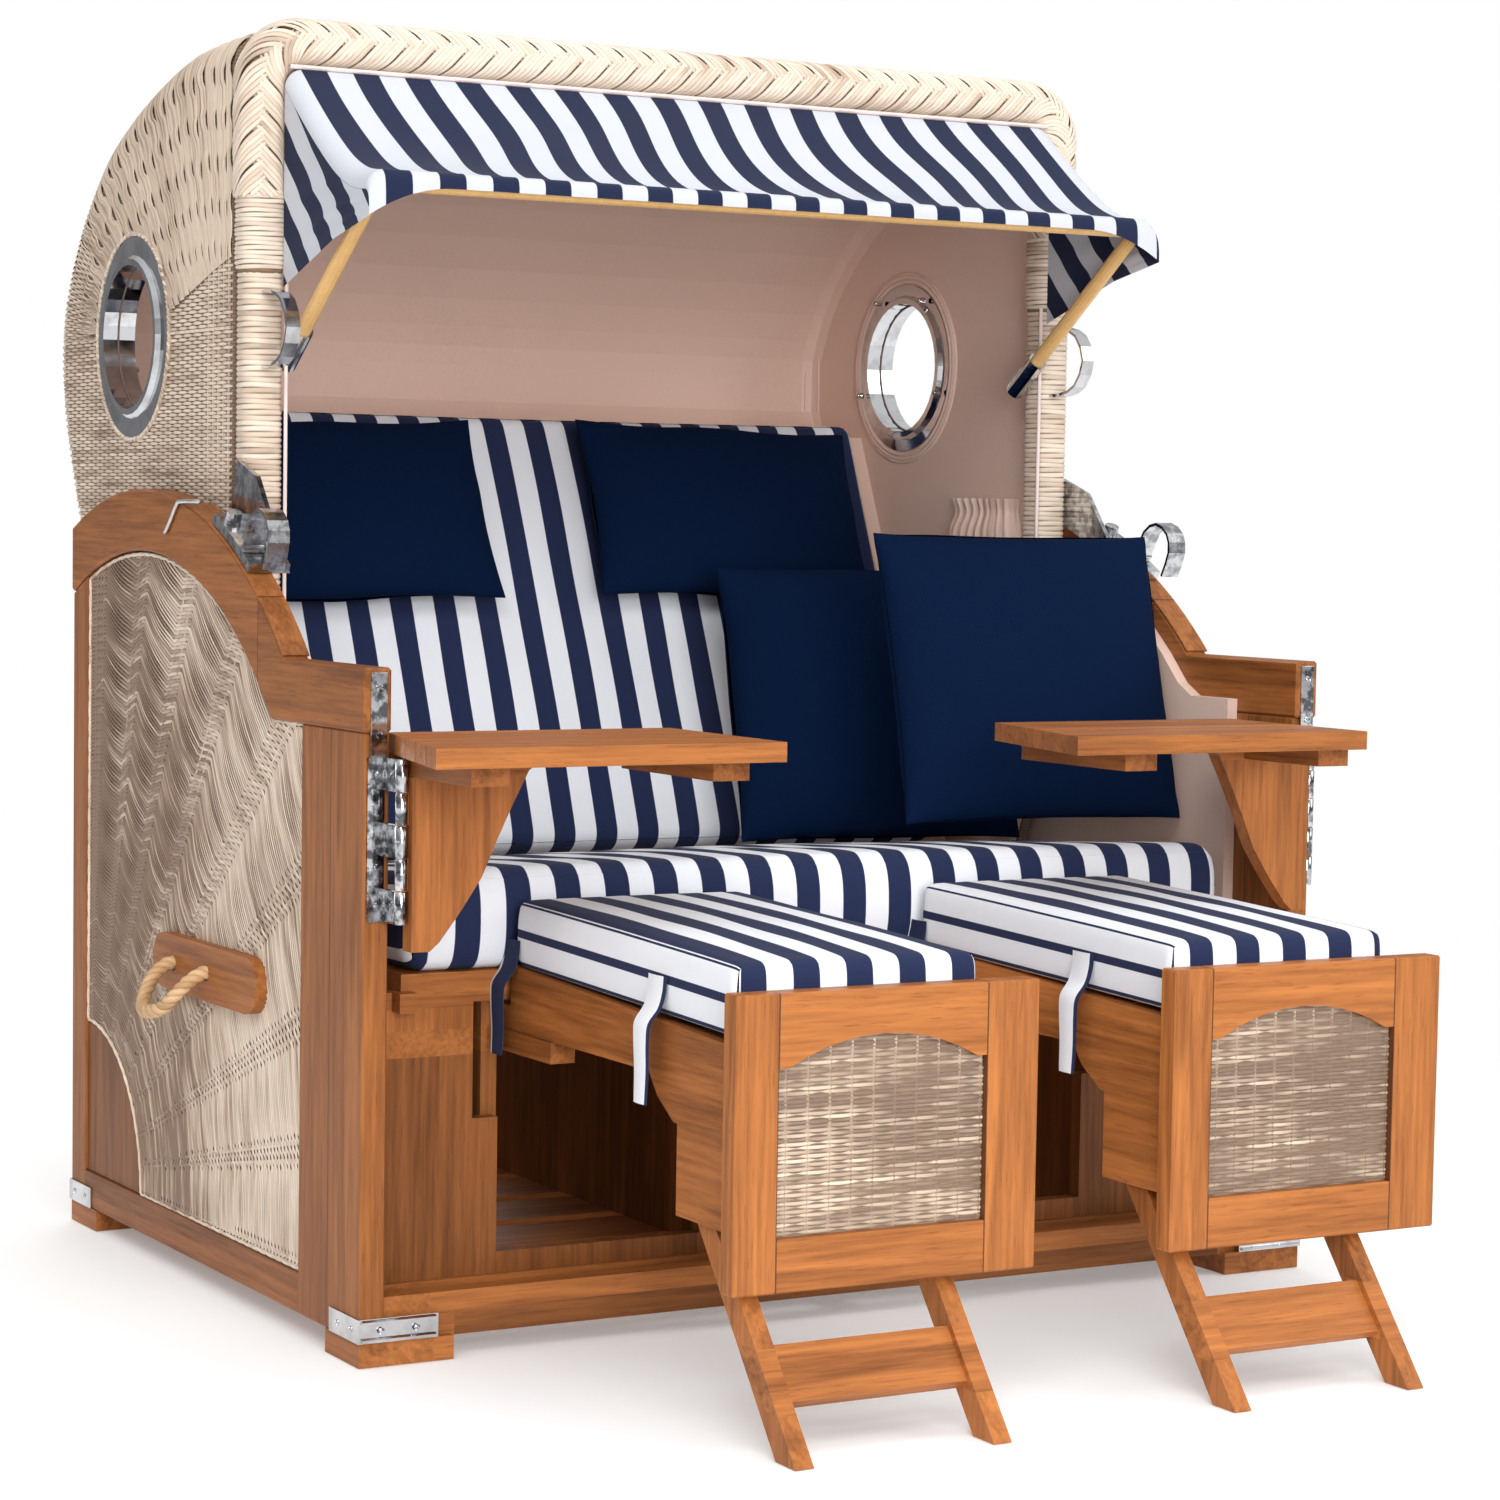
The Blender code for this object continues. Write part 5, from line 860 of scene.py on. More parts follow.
def hoodRows():
    # where each strand starts on the front and where it meets the back line, in y and z
    length = pathLength(hoodOutline(200))
    count = int(length / hood["pitch"])
    ends = hoodOutline(count)
    boundary = resample(np.array(hood["boundary"])[::-1], 400)
    cross = int(np.argmax(ends[:, 1] >= hood["port"][1]))
    rows = []
    total = count - cross
    for number, end in enumerate(ends):
        if number < cross:
            rows.append((np.array((hood["front"], max(end[1], 0.602))), end, 0))
        else:
            share = (number - cross) / (total - 1)
            # the fan: its feet run along the boundary from the port to the column
            foot = boundary[int(min(1.0, share ** 1.15) * 399)]
            rows.append((foot, end, 1))
    low = len(rows)
    z = hood["port"][1]
    while z < 1.246:  # short rows between the column and the boundary
        reach = np.interp(z, boundary[:, 1], boundary[:, 0])
        rows.append((np.array((hood["front"], z)), np.array((reach, z)), 2))
        z += hood["pitch"]
    return rows, low


def hoodSide(word, side):
    rows, _ = hoodRows()
    runs = []
    edge = hood["edge"]
    turn = edge * math.pi / 2
    bundleSize = hood["blockBundle"]
    for number, (start, end, kind) in enumerate(rows):
        gap = np.linalg.norm(end - start)
        if kind < 2 and gap < 0.03:
            continue
        direct = (end - start) / gap
        flat = gap - edge if kind < 2 else gap
        total = flat + (turn if kind < 2 else 0.0)
        count = max(4, int(total / 0.0052))
        s = np.linspace(0, total, count)
        bent = np.clip((s - flat) / turn, 0, 1) * math.pi / 2
        reach = np.minimum(s, flat) + edge * np.sin(bent)
        x = hood["half"] - edge * (1 - np.cos(bent))
        place = np.stack((side * x, start[0] + direct[0] * reach, start[1] + direct[1] * reach), 1)
        normal = np.stack((side * np.cos(bent), direct[0] * np.sin(bent), direct[1] * np.sin(bent)), 1)
        ahead = total - s
        fine = np.cos(math.pi * (s / hood["stake"] + number))
        block = np.zeros(count)
        room = np.ones(count)
        if kind == 1:
            block = np.clip((hood["blockRear"] - place[:, 1]) / 0.12, 0, 1) * np.clip(ahead / 0.02, 0, 1)
            room = 0.42 + 0.58 * np.clip(s / max(total, 0.01), 0, 1)
        # rows of slits: the strands lie tight, then bundles draw together and swing forward
        bundle = number // bundleSize
        lane = (number % bundleSize - (bundleSize - 1) / 2) / (bundleSize / 2)
        wave = np.sin(math.tau * ahead / hood["blockStake"] + 0.5 * math.sin(bundle * 2.4))
        draw = block * np.clip(0.18 + 1.1 * wave, 0, 1)
        width = hood["pitch"] * room * (0.46 + 0.05 * block - 0.10 * draw)
        width *= 1 - (1 - block) * 0.34 * np.clip(-fine, 0, 1)
        slip = room * draw * (-hood["pinch"] * lane - 0.0030)
        place[:, 1] -= direct[1] * slip
        place[:, 2] += direct[0] * slip
        rise = (1 - block) * 0.0015 * fine + draw * (0.0013 - 0.0016 * lane * lane) + 0.0003 * block
        kept = np.hypot(place[:, 1] - hood["port"][0], place[:, 2] - hood["port"][1]) > hood["portGap"]
        place = toRow(place + normal * (0.0006 + block * 0.0008 + rise)[:, None])
        crown = 0.0012 + 0.0003 * block
        for part in keepRuns(kept):
            strand = number + (0.0 if side < 0 else 500)
            runs.append((place[part], normal[part], width[part], crown[part], strand))
    # stakes that show beside the column
    z = np.linspace(0.61, hood["boundary"][0][1], 120)
    for k in range(1, 6):
        y = hood["front"] + 0.004 + 0.5 * hood["stake"] * (2 * k - 1)
        place = toRow(np.stack((np.full(120, side * (hood["half"] + 0.0004)), np.full(120, y), z), 1))
        normal = np.tile(np.array((side, 0.0, 0.0)), (120, 1))
        runs.append((place, normal, np.full(120, 0.0022), np.full(120, 0.0010), 900 + k))
    return ribbons("hoodWeave_" + word, runs, paint["cane"], "hood")


def hoodBack():
    rows, low = hoodRows()
    outline = np.array([row[1] for row in rows[:low]])
    along = np.gradient(outline, axis=0)
    outward = unit(np.stack((along[:, 1], -along[:, 0]), 1))
    half = hood["half"] - hood["edge"]
    count = 118
    x = np.linspace(-half, half, count)
    runs = []
    for number, (point, away) in enumerate(zip(outline, outward)):
        wave = np.cos(math.pi * (x / 0.0285 + number))
        normal = np.tile(np.array((0.0, away[0], away[1])), (count, 1))
        place = np.stack((x, np.full(count, point[0]), np.full(count, point[1])), 1)
        place = toRow(place + normal * (0.0004 + 0.0009 * wave)[:, None])
        runs.append((place, normal, np.full(count, hood["pitch"] / 2), np.full(count, 0.0011), number))
    return ribbons("hoodWeave_back", runs, paint["caneBack"], "hood")


# Rim: bound columns, bands and the plaited roll

rim = {
    "x": 0.574, "y": 0.025, "width": 0.052, "depth": 0.050, "corner": 0.018, "slim": 0.93,
    "low": 0.602, "bandLow": 1.235, "bandHigh": 1.330, "top": 1.504, "bend": 0.050,
    "wrapPitch": 0.0066, "bandPitch": 0.0056, "plaitPitch": 0.0400,
}


def roundedLoop(width, depth, corner, count):
    # a rounded rectangle as distance shares, with its outward directions
    angles = np.linspace(0, math.tau, count)
    a = width / 2 - corner
    b = depth / 2 - corner
    pieces = []
    for turn, (cx, cy) in enumerate(((a, b), (-a, b), (-a, -b), (a, -b))):
        pieces.append(np.stack((cx + corner * np.cos(np.linspace(turn, turn + 1, 9) * math.pi / 2),
                                cy + corner * np.sin(np.linspace(turn, turn + 1, 9) * math.pi / 2)), 1))
    loop = np.concatenate(pieces + [pieces[0][:1]])
    loop = resample(loop, len(angles))
    tangent = np.gradient(loop, axis=0)
    tangent[0] = tangent[-1] = loop[1] - loop[-2]
    outward = unit(np.stack((tangent[:, 1], -tangent[:, 0]), 1))
    return loop, outward


def rimWraps(word, side):
    runs = []
    number = 0

    def ring(z, share, proud, pitch, tilt=0.0):
        nonlocal number
        loop, outward = roundedLoop(rim["width"] * share, rim["depth"] * share, rim["corner"] * share, 41)
        turn = np.linspace(0, math.tau, len(loop))
        wobble = 0.0005 * np.sin(turn * 2 + number * 1.7)
        place = np.stack((side * rim["x"] + loop[:, 0] + outward[:, 0] * proud,
                          rim["y"] + loop[:, 1] + outward[:, 1] * proud,
                          z + wobble + tilt * turn / math.tau), 1)
        normal = np.stack((outward[:, 0], outward[:, 1], np.zeros(len(loop))), 1)
        half, crown = np.full(len(loop), pitch * 0.49), np.full(len(loop), 0.0016)
        runs.append((toRow(place), normal, half, crown, number))
        number += 1

    z = rim["low"] + 0.003
    while z < rim["bandLow"] - 0.004:
        ring(z, rim["slim"], 0.0001, rim["wrapPitch"])
        z += rim["wrapPitch"]
    z = rim["bandLow"]
    third = (rim["bandHigh"] - rim["bandLow"]) / 3
    while z < rim["bandHigh"]:
        part = ((z - rim["bandLow"]) / third) % 1
        swell = 0.0016 * math.sin(math.pi * part) ** 0.5 if 0 < part < 1 else 0.0
        ring(z, 1.0, 0.0002 + swell, rim["bandPitch"])
        z += rim["bandPitch"]
    return ribbons("rimWrap_" + word, runs, paint["caneWrap"], "hood")


def rimPath():
    x, top, bend = rim["x"], rim["top"], rim["bend"]
    left = np.array(((-x, rim["bandHigh"] - 0.012), (-x, top - bend)))
    turn = arcPoints((-x + bend, top - bend), bend, 180, 90, 16)
    path = np.concatenate((left, turn, turn[::-1] * (-1, 1), left[::-1] * (-1, 1)))
    kept = np.concatenate(([True], np.linalg.norm(np.diff(path, axis=0), axis=1) > 1e-6))
    return path[kept]


def rimBraid():
    path = rimPath()
    gaps = np.linalg.norm(np.diff(path, axis=0), axis=1)
    marks = np.concatenate(([0.0], np.cumsum(gaps)))
    total = marks[-1]
    loop, outward = roundedLoop(rim["width"], rim["depth"], rim["corner"], 241)
    girth = pathLength(loop)
    # loop starts on its outer side; the seam line sits on the front, turned outwards a little
    seam = 0.765 * girth

    def onRoll(s, around, proud):
        s = np.clip(s, 0, total)
        base = np.stack([np.interp(s, marks, path[:, i]) for i in range(2)], 1)
        step = 0.004
        ahead = np.stack([np.interp(np.minimum(s + step, total), marks, path[:, i]) for i in range(2)], 1)
        behind = np.stack([np.interp(np.maximum(s - step, 0), marks, path[:, i]) for i in range(2)], 1)
        along = unit(ahead - behind)
        outer = np.stack((-along[:, 1], along[:, 0]), 1)  # away from the opening
        share = np.mod(seam + around, girth) / girth * (len(loop) - 1)
        u = np.interp(share, np.arange(len(loop)), loop[:, 0])
        v = np.interp(share, np.arange(len(loop)), loop[:, 1])
        nu = np.interp(share, np.arange(len(loop)), outward[:, 0])
        nv = np.interp(share, np.arange(len(loop)), outward[:, 1])
        calm = 1 - 0.8 * np.clip(-1.5 * nu, 0, 1)  # flat inside, where the awning frame folds away
        proud = proud * calm
        place = np.stack((base[:, 0] + outer[:, 0] * (u + nu * proud), rim["y"] + v + nv * proud,
                          base[:, 1] + outer[:, 1] * (u + nu * proud)), 1)
        normal = unit(np.stack((outer[:, 0] * nu, nv, outer[:, 1] * nu), 1))
        return place, normal, calm

    runs = []
    pitch = rim["plaitPitch"]
    strands = 5
    samples = 32
    t = np.linspace(0, 1, samples)
    reach = girth * 0.46
    number = 0
    for half, way in ((1, 0.0), (-1, 0.5)):
        k = -3.0
        while k * pitch < total + 0.05:
            for j in range(strands):
                lane = (j - (strands - 1) / 2) / strands
                around = half * (reach * (1 - t) - 0.0135 * t)
                slope = np.where(t > 0.35, 1.0, t / 0.35 * 0.75 + 0.25)
                drift = np.concatenate(([0.0], np.cumsum(slope[1:] * np.abs(np.diff(around)))))
                s = (k + way) * pitch + lane * pitch * 0.90 + drift * 0.98
                lifted = np.sin(math.pi * np.clip(t * 1.08, 0, 1)) ** 0.6
                dive = np.clip((t - 0.86) / 0.14, 0, 1)
                proud = 0.0004 + 0.0026 * lifted - 0.0042 * dive + 0.0012 * (1 - (2 * lane) ** 2)
                place, normal, calm = onRoll(s, around, proud)
                inside = (s > 0.0) & (s < total)
                for part in keepRuns(inside):
                    width = np.full(samples, 0.0032)
                    runs.append((toRow(place)[part], normal[part], width[part], (0.0023 * calm)[part], number))
                number += 1
            k += 1.0
    return ribbons("rimBraid", runs, paint["caneBraid"], "hood")


# Base wicker: strands in arcs round the lower rear corner

sidePanel = {
    "x": 0.644, "front": -0.299, "rear": 0.423, "low": 0.075, "top": 0.703,
    "pivot": (0.22, 0.30), "arch": 0.5875, "corner": (0.423, 0.075), "fan": 0.1965,
    "pitch": 0.0052, "wide": 7.9, "narrow": 3.0, "cluster": 0.066, "bulge": 0.0016, "sag": 0.0060,
    "slant": 0.0115,
}


def baseWeave(word, side):
    runs = []
    p = sidePanel
    period = p["wide"] + p["narrow"]
    lastStake = 1.12

    def onPanel(y, z, inset):
        kept = (y > p["front"] + inset) & (y < p["rear"] - inset) & (z > p["low"] + inset)
        underArch = np.hypot(y - p["pivot"][0], z - p["pivot"][1]) < p["arch"]
        kept &= underArch | (z < p["pivot"][1]) | (y < -0.205)
        return kept & ~((y < -0.205) & (z > p["top"] - 0.002))

    number = 0
    radius = p["fan"] + p["pitch"] / 2 + 0.002
    while radius < lastStake:
        angle = np.linspace(0.4, 89.6, int(radius * math.pi / 2 / 0.0050))
        cell = (angle + p["narrow"] / 2) / period
        index = np.floor(cell)
        inside = (cell - index) * period
        narrow = inside < p["narrow"]
        share = np.clip((inside - p["narrow"]) / p["wide"], 0, 1)
        # each wedge's strands hang in loose loops, crowded and spread by turns along the wedge
        loose = np.clip((angle - 10) / 30, 0.4, 1) * np.clip((radius - 0.2) / 0.35, 0.25, 1.0)
        phase = math.tau * (radius / p["cluster"] + 0.5 * (index % 2) + 0.02 * angle)
        hang = np.sin(math.pi * share) ** 1.2 * np.where(narrow, 0.0, 1.0)
        slant = np.where(narrow, 1 - 2 * inside / p["narrow"], 2 * share - 1)
        away = loose * (p["slant"] * slant - p["sag"] * hang * (1.0 + 0.16 * np.cos(phase)))
        gaps = loose * hang * (0.62 + 0.38 * np.sin(phase))
        fine = np.cos(math.pi * (inside / (p["narrow"] / 3) + number))
        bulge = p["bulge"] * hang * loose * (0.75 + 0.25 * np.sin(phase))
        rise = np.where(narrow, 0.0006 + 0.0009 * fine, 0.0006 + bulge)
        turn = np.radians(angle)
        y = p["corner"][0] - (radius + away) * np.cos(turn)
        z = p["corner"][1] + (radius + away) * np.sin(turn)
        place = toRow(np.stack((side * (p["x"] + rise), y, z), 1))
        normal = np.tile(np.array((side, 0.0, 0.0)), (len(angle), 1))
        size = p["pitch"] * (0.46 - 0.25 * gaps)
        crown = np.full(len(angle), 0.0012)
        for part in keepRuns(onPanel(y, z, 0.001)):
            runs.append((place[part], normal[part], size[part], crown[part], number))
        number += 1
        radius += p["pitch"]
    # pairs of stakes in the narrow columns
    r = np.linspace(p["fan"] + 0.004, lastStake, 200)
    for stake in range(int(90 / period) + 1):
        for part in (-0.25, 0.25):
            turn = math.radians(np.clip(stake * period + part * p["narrow"], 0.3, 89.7))
            y = p["corner"][0] - r * math.cos(turn)
            z = p["corner"][1] + r * math.sin(turn)
            place = toRow(np.stack((np.full(200, side * (p["x"] + 0.0006)), y, z), 1))
            normal = np.tile(np.array((side, 0.0, 0.0)), (200, 1))
            for run in keepRuns(onPanel(y, z, 0.003)):
                half, crown = np.full(200, 0.0019)[run], np.full(200, 0.0011)[run]
                runs.append((place[run], normal[run], half, crown, 900 + stake))
    return ribbons("baseWeave_" + word, runs, paint["caneBase"], "base")


def panelEdge(word, side):
    p = sidePanel
    inset = 0.0022
    x = side * (p["x"] + 0.0018)
    corner = p["corner"]
    archTop = arcPoints(p["pivot"], p["arch"] - inset,
                        math.degrees(math.acos((p["rear"] - p["pivot"][0]) / p["arch"])),
                        180 - math.degrees(math.asin((p["top"] - p["pivot"][1]) / p["arch"])), 40)
    fan = arcPoints(corner, p["fan"] + inset, 180, 90, 18)
    outline = [(p["front"] + inset, p["low"] + inset)]
    outline += [tuple(q) for q in fan]
    outline += [(p["rear"] - inset, archTop[0][1])]
    outline += [tuple(q) for q in archTop]
    outline += [(p["front"] + inset, archTop[-1][1]), (p["front"] + inset, p["low"] + inset)]
    line = np.array(outline)
    line = np.concatenate((line[:1], line[1:][np.linalg.norm(np.diff(line, axis=0), axis=1) > 1e-5]))
    line = resample(line, 420)
    path = toRow(np.stack((np.full(len(line), x), line[:, 0], line[:, 1]), 1))
    turn = np.arange(len(path)) * 0.9
    paths = []
    for phase in (0.0, math.pi):
        coil = path.copy()
        coil[:, 0] += side * 0.0007 * np.cos(turn + phase)
        coil[:, 2] += 0.0008 * np.sin(turn + phase)
        paths.append(coil)
    return tubes("panelCord_" + word, paths, 0.0019, paint["caneWrap"], "base", around=6)


window = {"low": 0.2135, "high": 0.4165, "inset": (0.0503, 0.0653), "width": 0.367,
          "face": -0.955, "pitch": 0.00435}


def windowWeave(word, left):
    runs = []
    low, high, face = window["low"], window["high"], window["face"]
    xs = (left + window["inset"][0], left + window["width"] - window["inset"][1])
    middle = (xs[0] + xs[1]) / 2
    half = (xs[1] - xs[0]) / 2
    pitch = window["pitch"]
    number = 0
    z = low + pitch / 2
    while z < high:
        lift = max(0.0, z - 0.375) / 0.042
        reach = half if z < 0.375 else half * math.sqrt(max(0.0, 1 - (lift * 0.93) ** 2))
        if reach < 0.02:
            break
        count = max(8, int(2 * reach / 0.0043))
        x = np.linspace(middle - reach, middle + reach, count)
        wave = np.cos(math.pi * ((x - xs[0]) / 0.0262 + number))
        place = np.stack((x, np.full(count, face) - 0.0005 - 0.0016 * wave, np.full(count, z)), 1)
        normal = np.tile(np.array((0.0, -1.0, 0.0)), (count, 1))
        runs.append((toRow(place), normal, np.full(count, pitch * 0.45), np.full(count, 0.0012), number))
        number += 1
        z += pitch
    x = xs[0] + 0.0131
    while x < xs[1]:
        z = np.linspace(low, high - 0.004, 60)
        place = np.stack((np.full(60, x), np.full(60, face - 0.0004), z), 1)
        normal = np.tile(np.array((0.0, -1.0, 0.0)), (60, 1))
        runs.append((toRow(place), normal, np.full(60, 0.0021), np.full(60, 0.0011), 300 + x))
        x += 0.0262
    return ribbons("windowWeave_" + word, runs, paint["caneWindow"], "footrest_" + word)


def backWeave():
    runs = []
    z = 0.079
    number = 0
    while z < 0.265:
        x = np.linspace(-0.573, 0.573, 150)
        wave = np.cos(math.pi * (x / 0.0262 + number))
        place = np.stack((x, np.full(150, 0.4735) + 0.0004 + 0.0008 * wave, np.full(150, z)), 1)
        normal = np.tile(np.array((0.0, 1.0, 0.0)), (150, 1))
        runs.append((toRow(place), normal, np.full(150, 0.0023), np.full(150, 0.0008), number))
        number += 1
        z += 0.0048
    return ribbons("backWeave", runs, paint["caneBack"], "base")


# Cushions

def boxedCushion(name, size, place, cell, material, body, crown, edge, pull, wedge=0.0, slack=0.0, seed=0.0,
                 band=None):
    # size: width, depth, thickness; place maps the cushion's own frame, its base at z = 0
    width, depth, thick = size
    halves = np.array((width, depth, thick)) / 2
    core = halves - edge
    shape = bmesh.new()
    layer = shape.loops.layers.uv.new("Flat")
    for axis in range(3):
        for sign in (-1, 1):
            i, j = [k for k in range(3) if k != axis]
            n = max(3, round(2 * halves[i] / cell))
            m = max(3, round(2 * halves[j] / cell))
            a = np.sin(np.linspace(-1, 1, n + 1) * 1.32) / math.sin(1.32)
            b = np.sin(np.linspace(-1, 1, m + 1) * 1.32) / math.sin(1.32)
            grid = np.empty((n + 1, m + 1, 3))
            grid[..., i] = a[:, None]
            grid[..., j] = b[None, :]
            grid[..., axis] = sign
            flat = grid * halves
            near = np.clip(flat, -core, core)
            away = flat - near
            length = np.linalg.norm(away, axis=-1, keepdims=True)
            formed = near + edge * away / np.maximum(length, 1e-9)
            q = formed / halves
            up = np.clip(q[..., 2] * 0.5 + 0.5, 0, 1)
            dome = np.clip(1 - q[..., 0] ** 2, 0, 1) ** 0.65 * np.clip(1 - q[..., 1] ** 2, 0, 1) ** 0.65
            formed[..., 2] = (up * thick) * (1 + wedge * q[..., 1]) + crown * dome * up ** 2
            formed[..., 0] -= q[..., 0] * pull * (1 - q[..., 1] ** 2) * (0.4 + 0.6 * up)
            formed[..., 1] -= q[..., 1] * pull * (1 - q[..., 0] ** 2) * (0.4 + 0.6 * up)
            swell = np.sin(math.pi * up) * 0.5
            if axis != 2:
                formed[..., axis] += sign * 0.004 * swell
            ripple = np.sin(q[..., 0] * 9.1 + seed) * np.sin(q[..., 1] * 6.3 + seed * 2) + 0.6 * np.sin(
                q[..., 0] * 21 + q[..., 1] * 8 + seed)
            formed[..., 2] += slack * ripple * up ** 2 * dome
            if axis == 2:
                uv = flat[..., :2].copy()
            elif axis == 0 and band:
                uv = np.stack((flat[..., 2] + halves[2], flat[..., 1]), -1)
            elif axis == 0:
                uv = np.stack((flat[..., 0] + sign * (halves[2] - flat[..., 2]), flat[..., 1]), -1)
            else:
                uv = np.stack((flat[..., 0], flat[..., 1] + sign * (halves[2] - flat[..., 2])), -1)
            verts = [[shape.verts.new(formed[p, r]) for r in range(m + 1)] for p in range(n + 1)]
            for p in range(n):
                for r in range(m):
                    spots = ((p, r), (p + 1, r), (p + 1, r + 1), (p, r + 1))
                    face = shape.faces.new([verts[c][d] for c, d in spots])
                    face.smooth = True
                    face.material_index = 1 if band and axis == 0 else 0
                    for loop, (c, d) in zip(face.loops, spots):
                        loop[layer].uv = uv[c, d]
    bmesh.ops.remove_doubles(shape, verts=shape.verts, dist=0.0002)
    bmesh.ops.recalc_face_normals(shape, faces=shape.faces)
    mesh = bpy.data.meshes.new(name)
    shape.to_mesh(mesh)
    shape.free()
    mesh.transform(place)
    mesh.materials.append(material)
    if band:
        mesh.materials.append(band)
    return addPiece(name, mesh, body)


def knifeCushion(name, size, place, cells, body, pinch=0.045, seed=0.0):
    width, height, thick = size
    marks = np.sin(np.linspace(-1, 1, cells + 1) * math.pi / 2 * 0.999)
    s, t = np.meshgrid(marks, marks, indexing="ij")
    shape = bmesh.new()
    layer = shape.loops.layers.uv.new("Flat")
    for face in (1, -1):
        swell = np.clip((1 - s * s) * (1 - t * t), 0, None) ** 0.42
        u = width / 2 * s * (1 - pinch * (1 - t * t))
        v = height / 2 * t * (1 - pinch * (1 - s * s))
        edge = np.clip(1 - np.maximum(np.abs(s), np.abs(t)), 0, 1)
        pucker = np.exp(-edge * 9) * edge * 6
        gather = np.where(np.abs(s) > np.abs(t), np.sin(v * 160 + seed), np.sin(u * 160 + seed * 2))
        fold = np.sin(u * 17 + v * 9 + seed) * 0.5 + np.sin(v * 23 - u * 12 + seed * 3) * 0.35
        w = face * (thick / 2 * swell + 0.0030 * pucker * gather + 0.0030 * fold * swell)
        count = range(cells + 1)
        verts = [[shape.verts.new((u[i, j], v[i, j], w[i, j])) for j in count] for i in count]
        for i in range(cells):
            for j in range(cells):
                spots = ((i, j), (i + 1, j), (i + 1, j + 1), (i, j + 1))
                made = shape.faces.new([verts[a][b] for a, b in spots])
                made.smooth = True
                for loop, (a, b) in zip(made.loops, spots):
                    loop[layer].uv = (u[a, b], v[a, b])
    bmesh.ops.remove_doubles(shape, verts=shape.verts, dist=0.0003)
    bmesh.ops.recalc_face_normals(shape, faces=shape.faces)
    mesh = bpy.data.meshes.new(name)
    shape.to_mesh(mesh)
    shape.free()
    mesh.transform(place)
    mesh.materials.append(paint["navy"])
    return addPiece(name, mesh, body)


def puff(piece, pressure=2.5, cap=0.008, frames=18):
    # blow the cover up from inside, keep each point near its start, and bake the result
    mesh = piece.data
    start = np.empty(len(mesh.vertices) * 3)
    mesh.vertices.foreach_get("co", start)
    start = start.reshape(-1, 3)
    cover = piece.modifiers.new("cover", "CLOTH")
    cover.settings.quality = 4
    cover.settings.mass = 0.25
    cover.settings.tension_stiffness = 18
    cover.settings.compression_stiffness = 12
    cover.settings.bending_stiffness = 0.35
    cover.settings.use_pressure = True
    cover.settings.uniform_pressure_force = pressure
    cover.settings.effector_weights.gravity = 0.0
    cover.collision_settings.use_collision = False
    scene = bpy.context.scene
    for step in range(1, frames + 1):
        scene.frame_set(step)
    shaped = piece.evaluated_get(bpy.context.evaluated_depsgraph_get()).to_mesh()
    after = np.empty(len(shaped.vertices) * 3)
    shaped.vertices.foreach_get("co", after)
    after = after.reshape(-1, 3)
    piece.modifiers.remove(cover)
    scene.frame_set(1)
    move = after - start
    length = np.linalg.norm(move, axis=1, keepdims=True)
    limit = cap * np.tanh(length / cap) / np.maximum(length, 1e-9)
    result = start + move * limit
    mesh.vertices.foreach_set("co", result.astype(np.float32).ravel())
    mesh.update()


def soften(piece, levels=1):
    rounder = piece.modifiers.new("rounder", "SUBSURF")
    rounder.levels = rounder.render_levels = levels


slope = math.radians(23.7)


def backFrame(along, behind, x=0.0):
    y = 0.190 + along * math.sin(slope) + behind * math.cos(slope)
    z = 0.505 + along * math.cos(slope) - behind * math.sin(slope)
    return Matrix.Translation((x, y + baseY, z)) @ Matrix.Rotation(math.pi / 2 - slope, 4, "X")


seat = {"front": -0.412, "back": 0.186, "half": 0.570, "low": 0.4253, "frontThick": 0.1157, "backThick": 0.0627}
headPlaces = (("left", -0.332, 0.460, 2.0), ("right", 0.252, 0.467, -1.5))
throwPlaces = (("throw_cushion_front", 0.394, -0.262, 0.5562, 16.0, -4.0),
               ("throw_cushion_rear", 0.332, 0.034, 0.5090, 18.0, -9.0))
footUnits = {"left": -0.455, "right": 0.088}


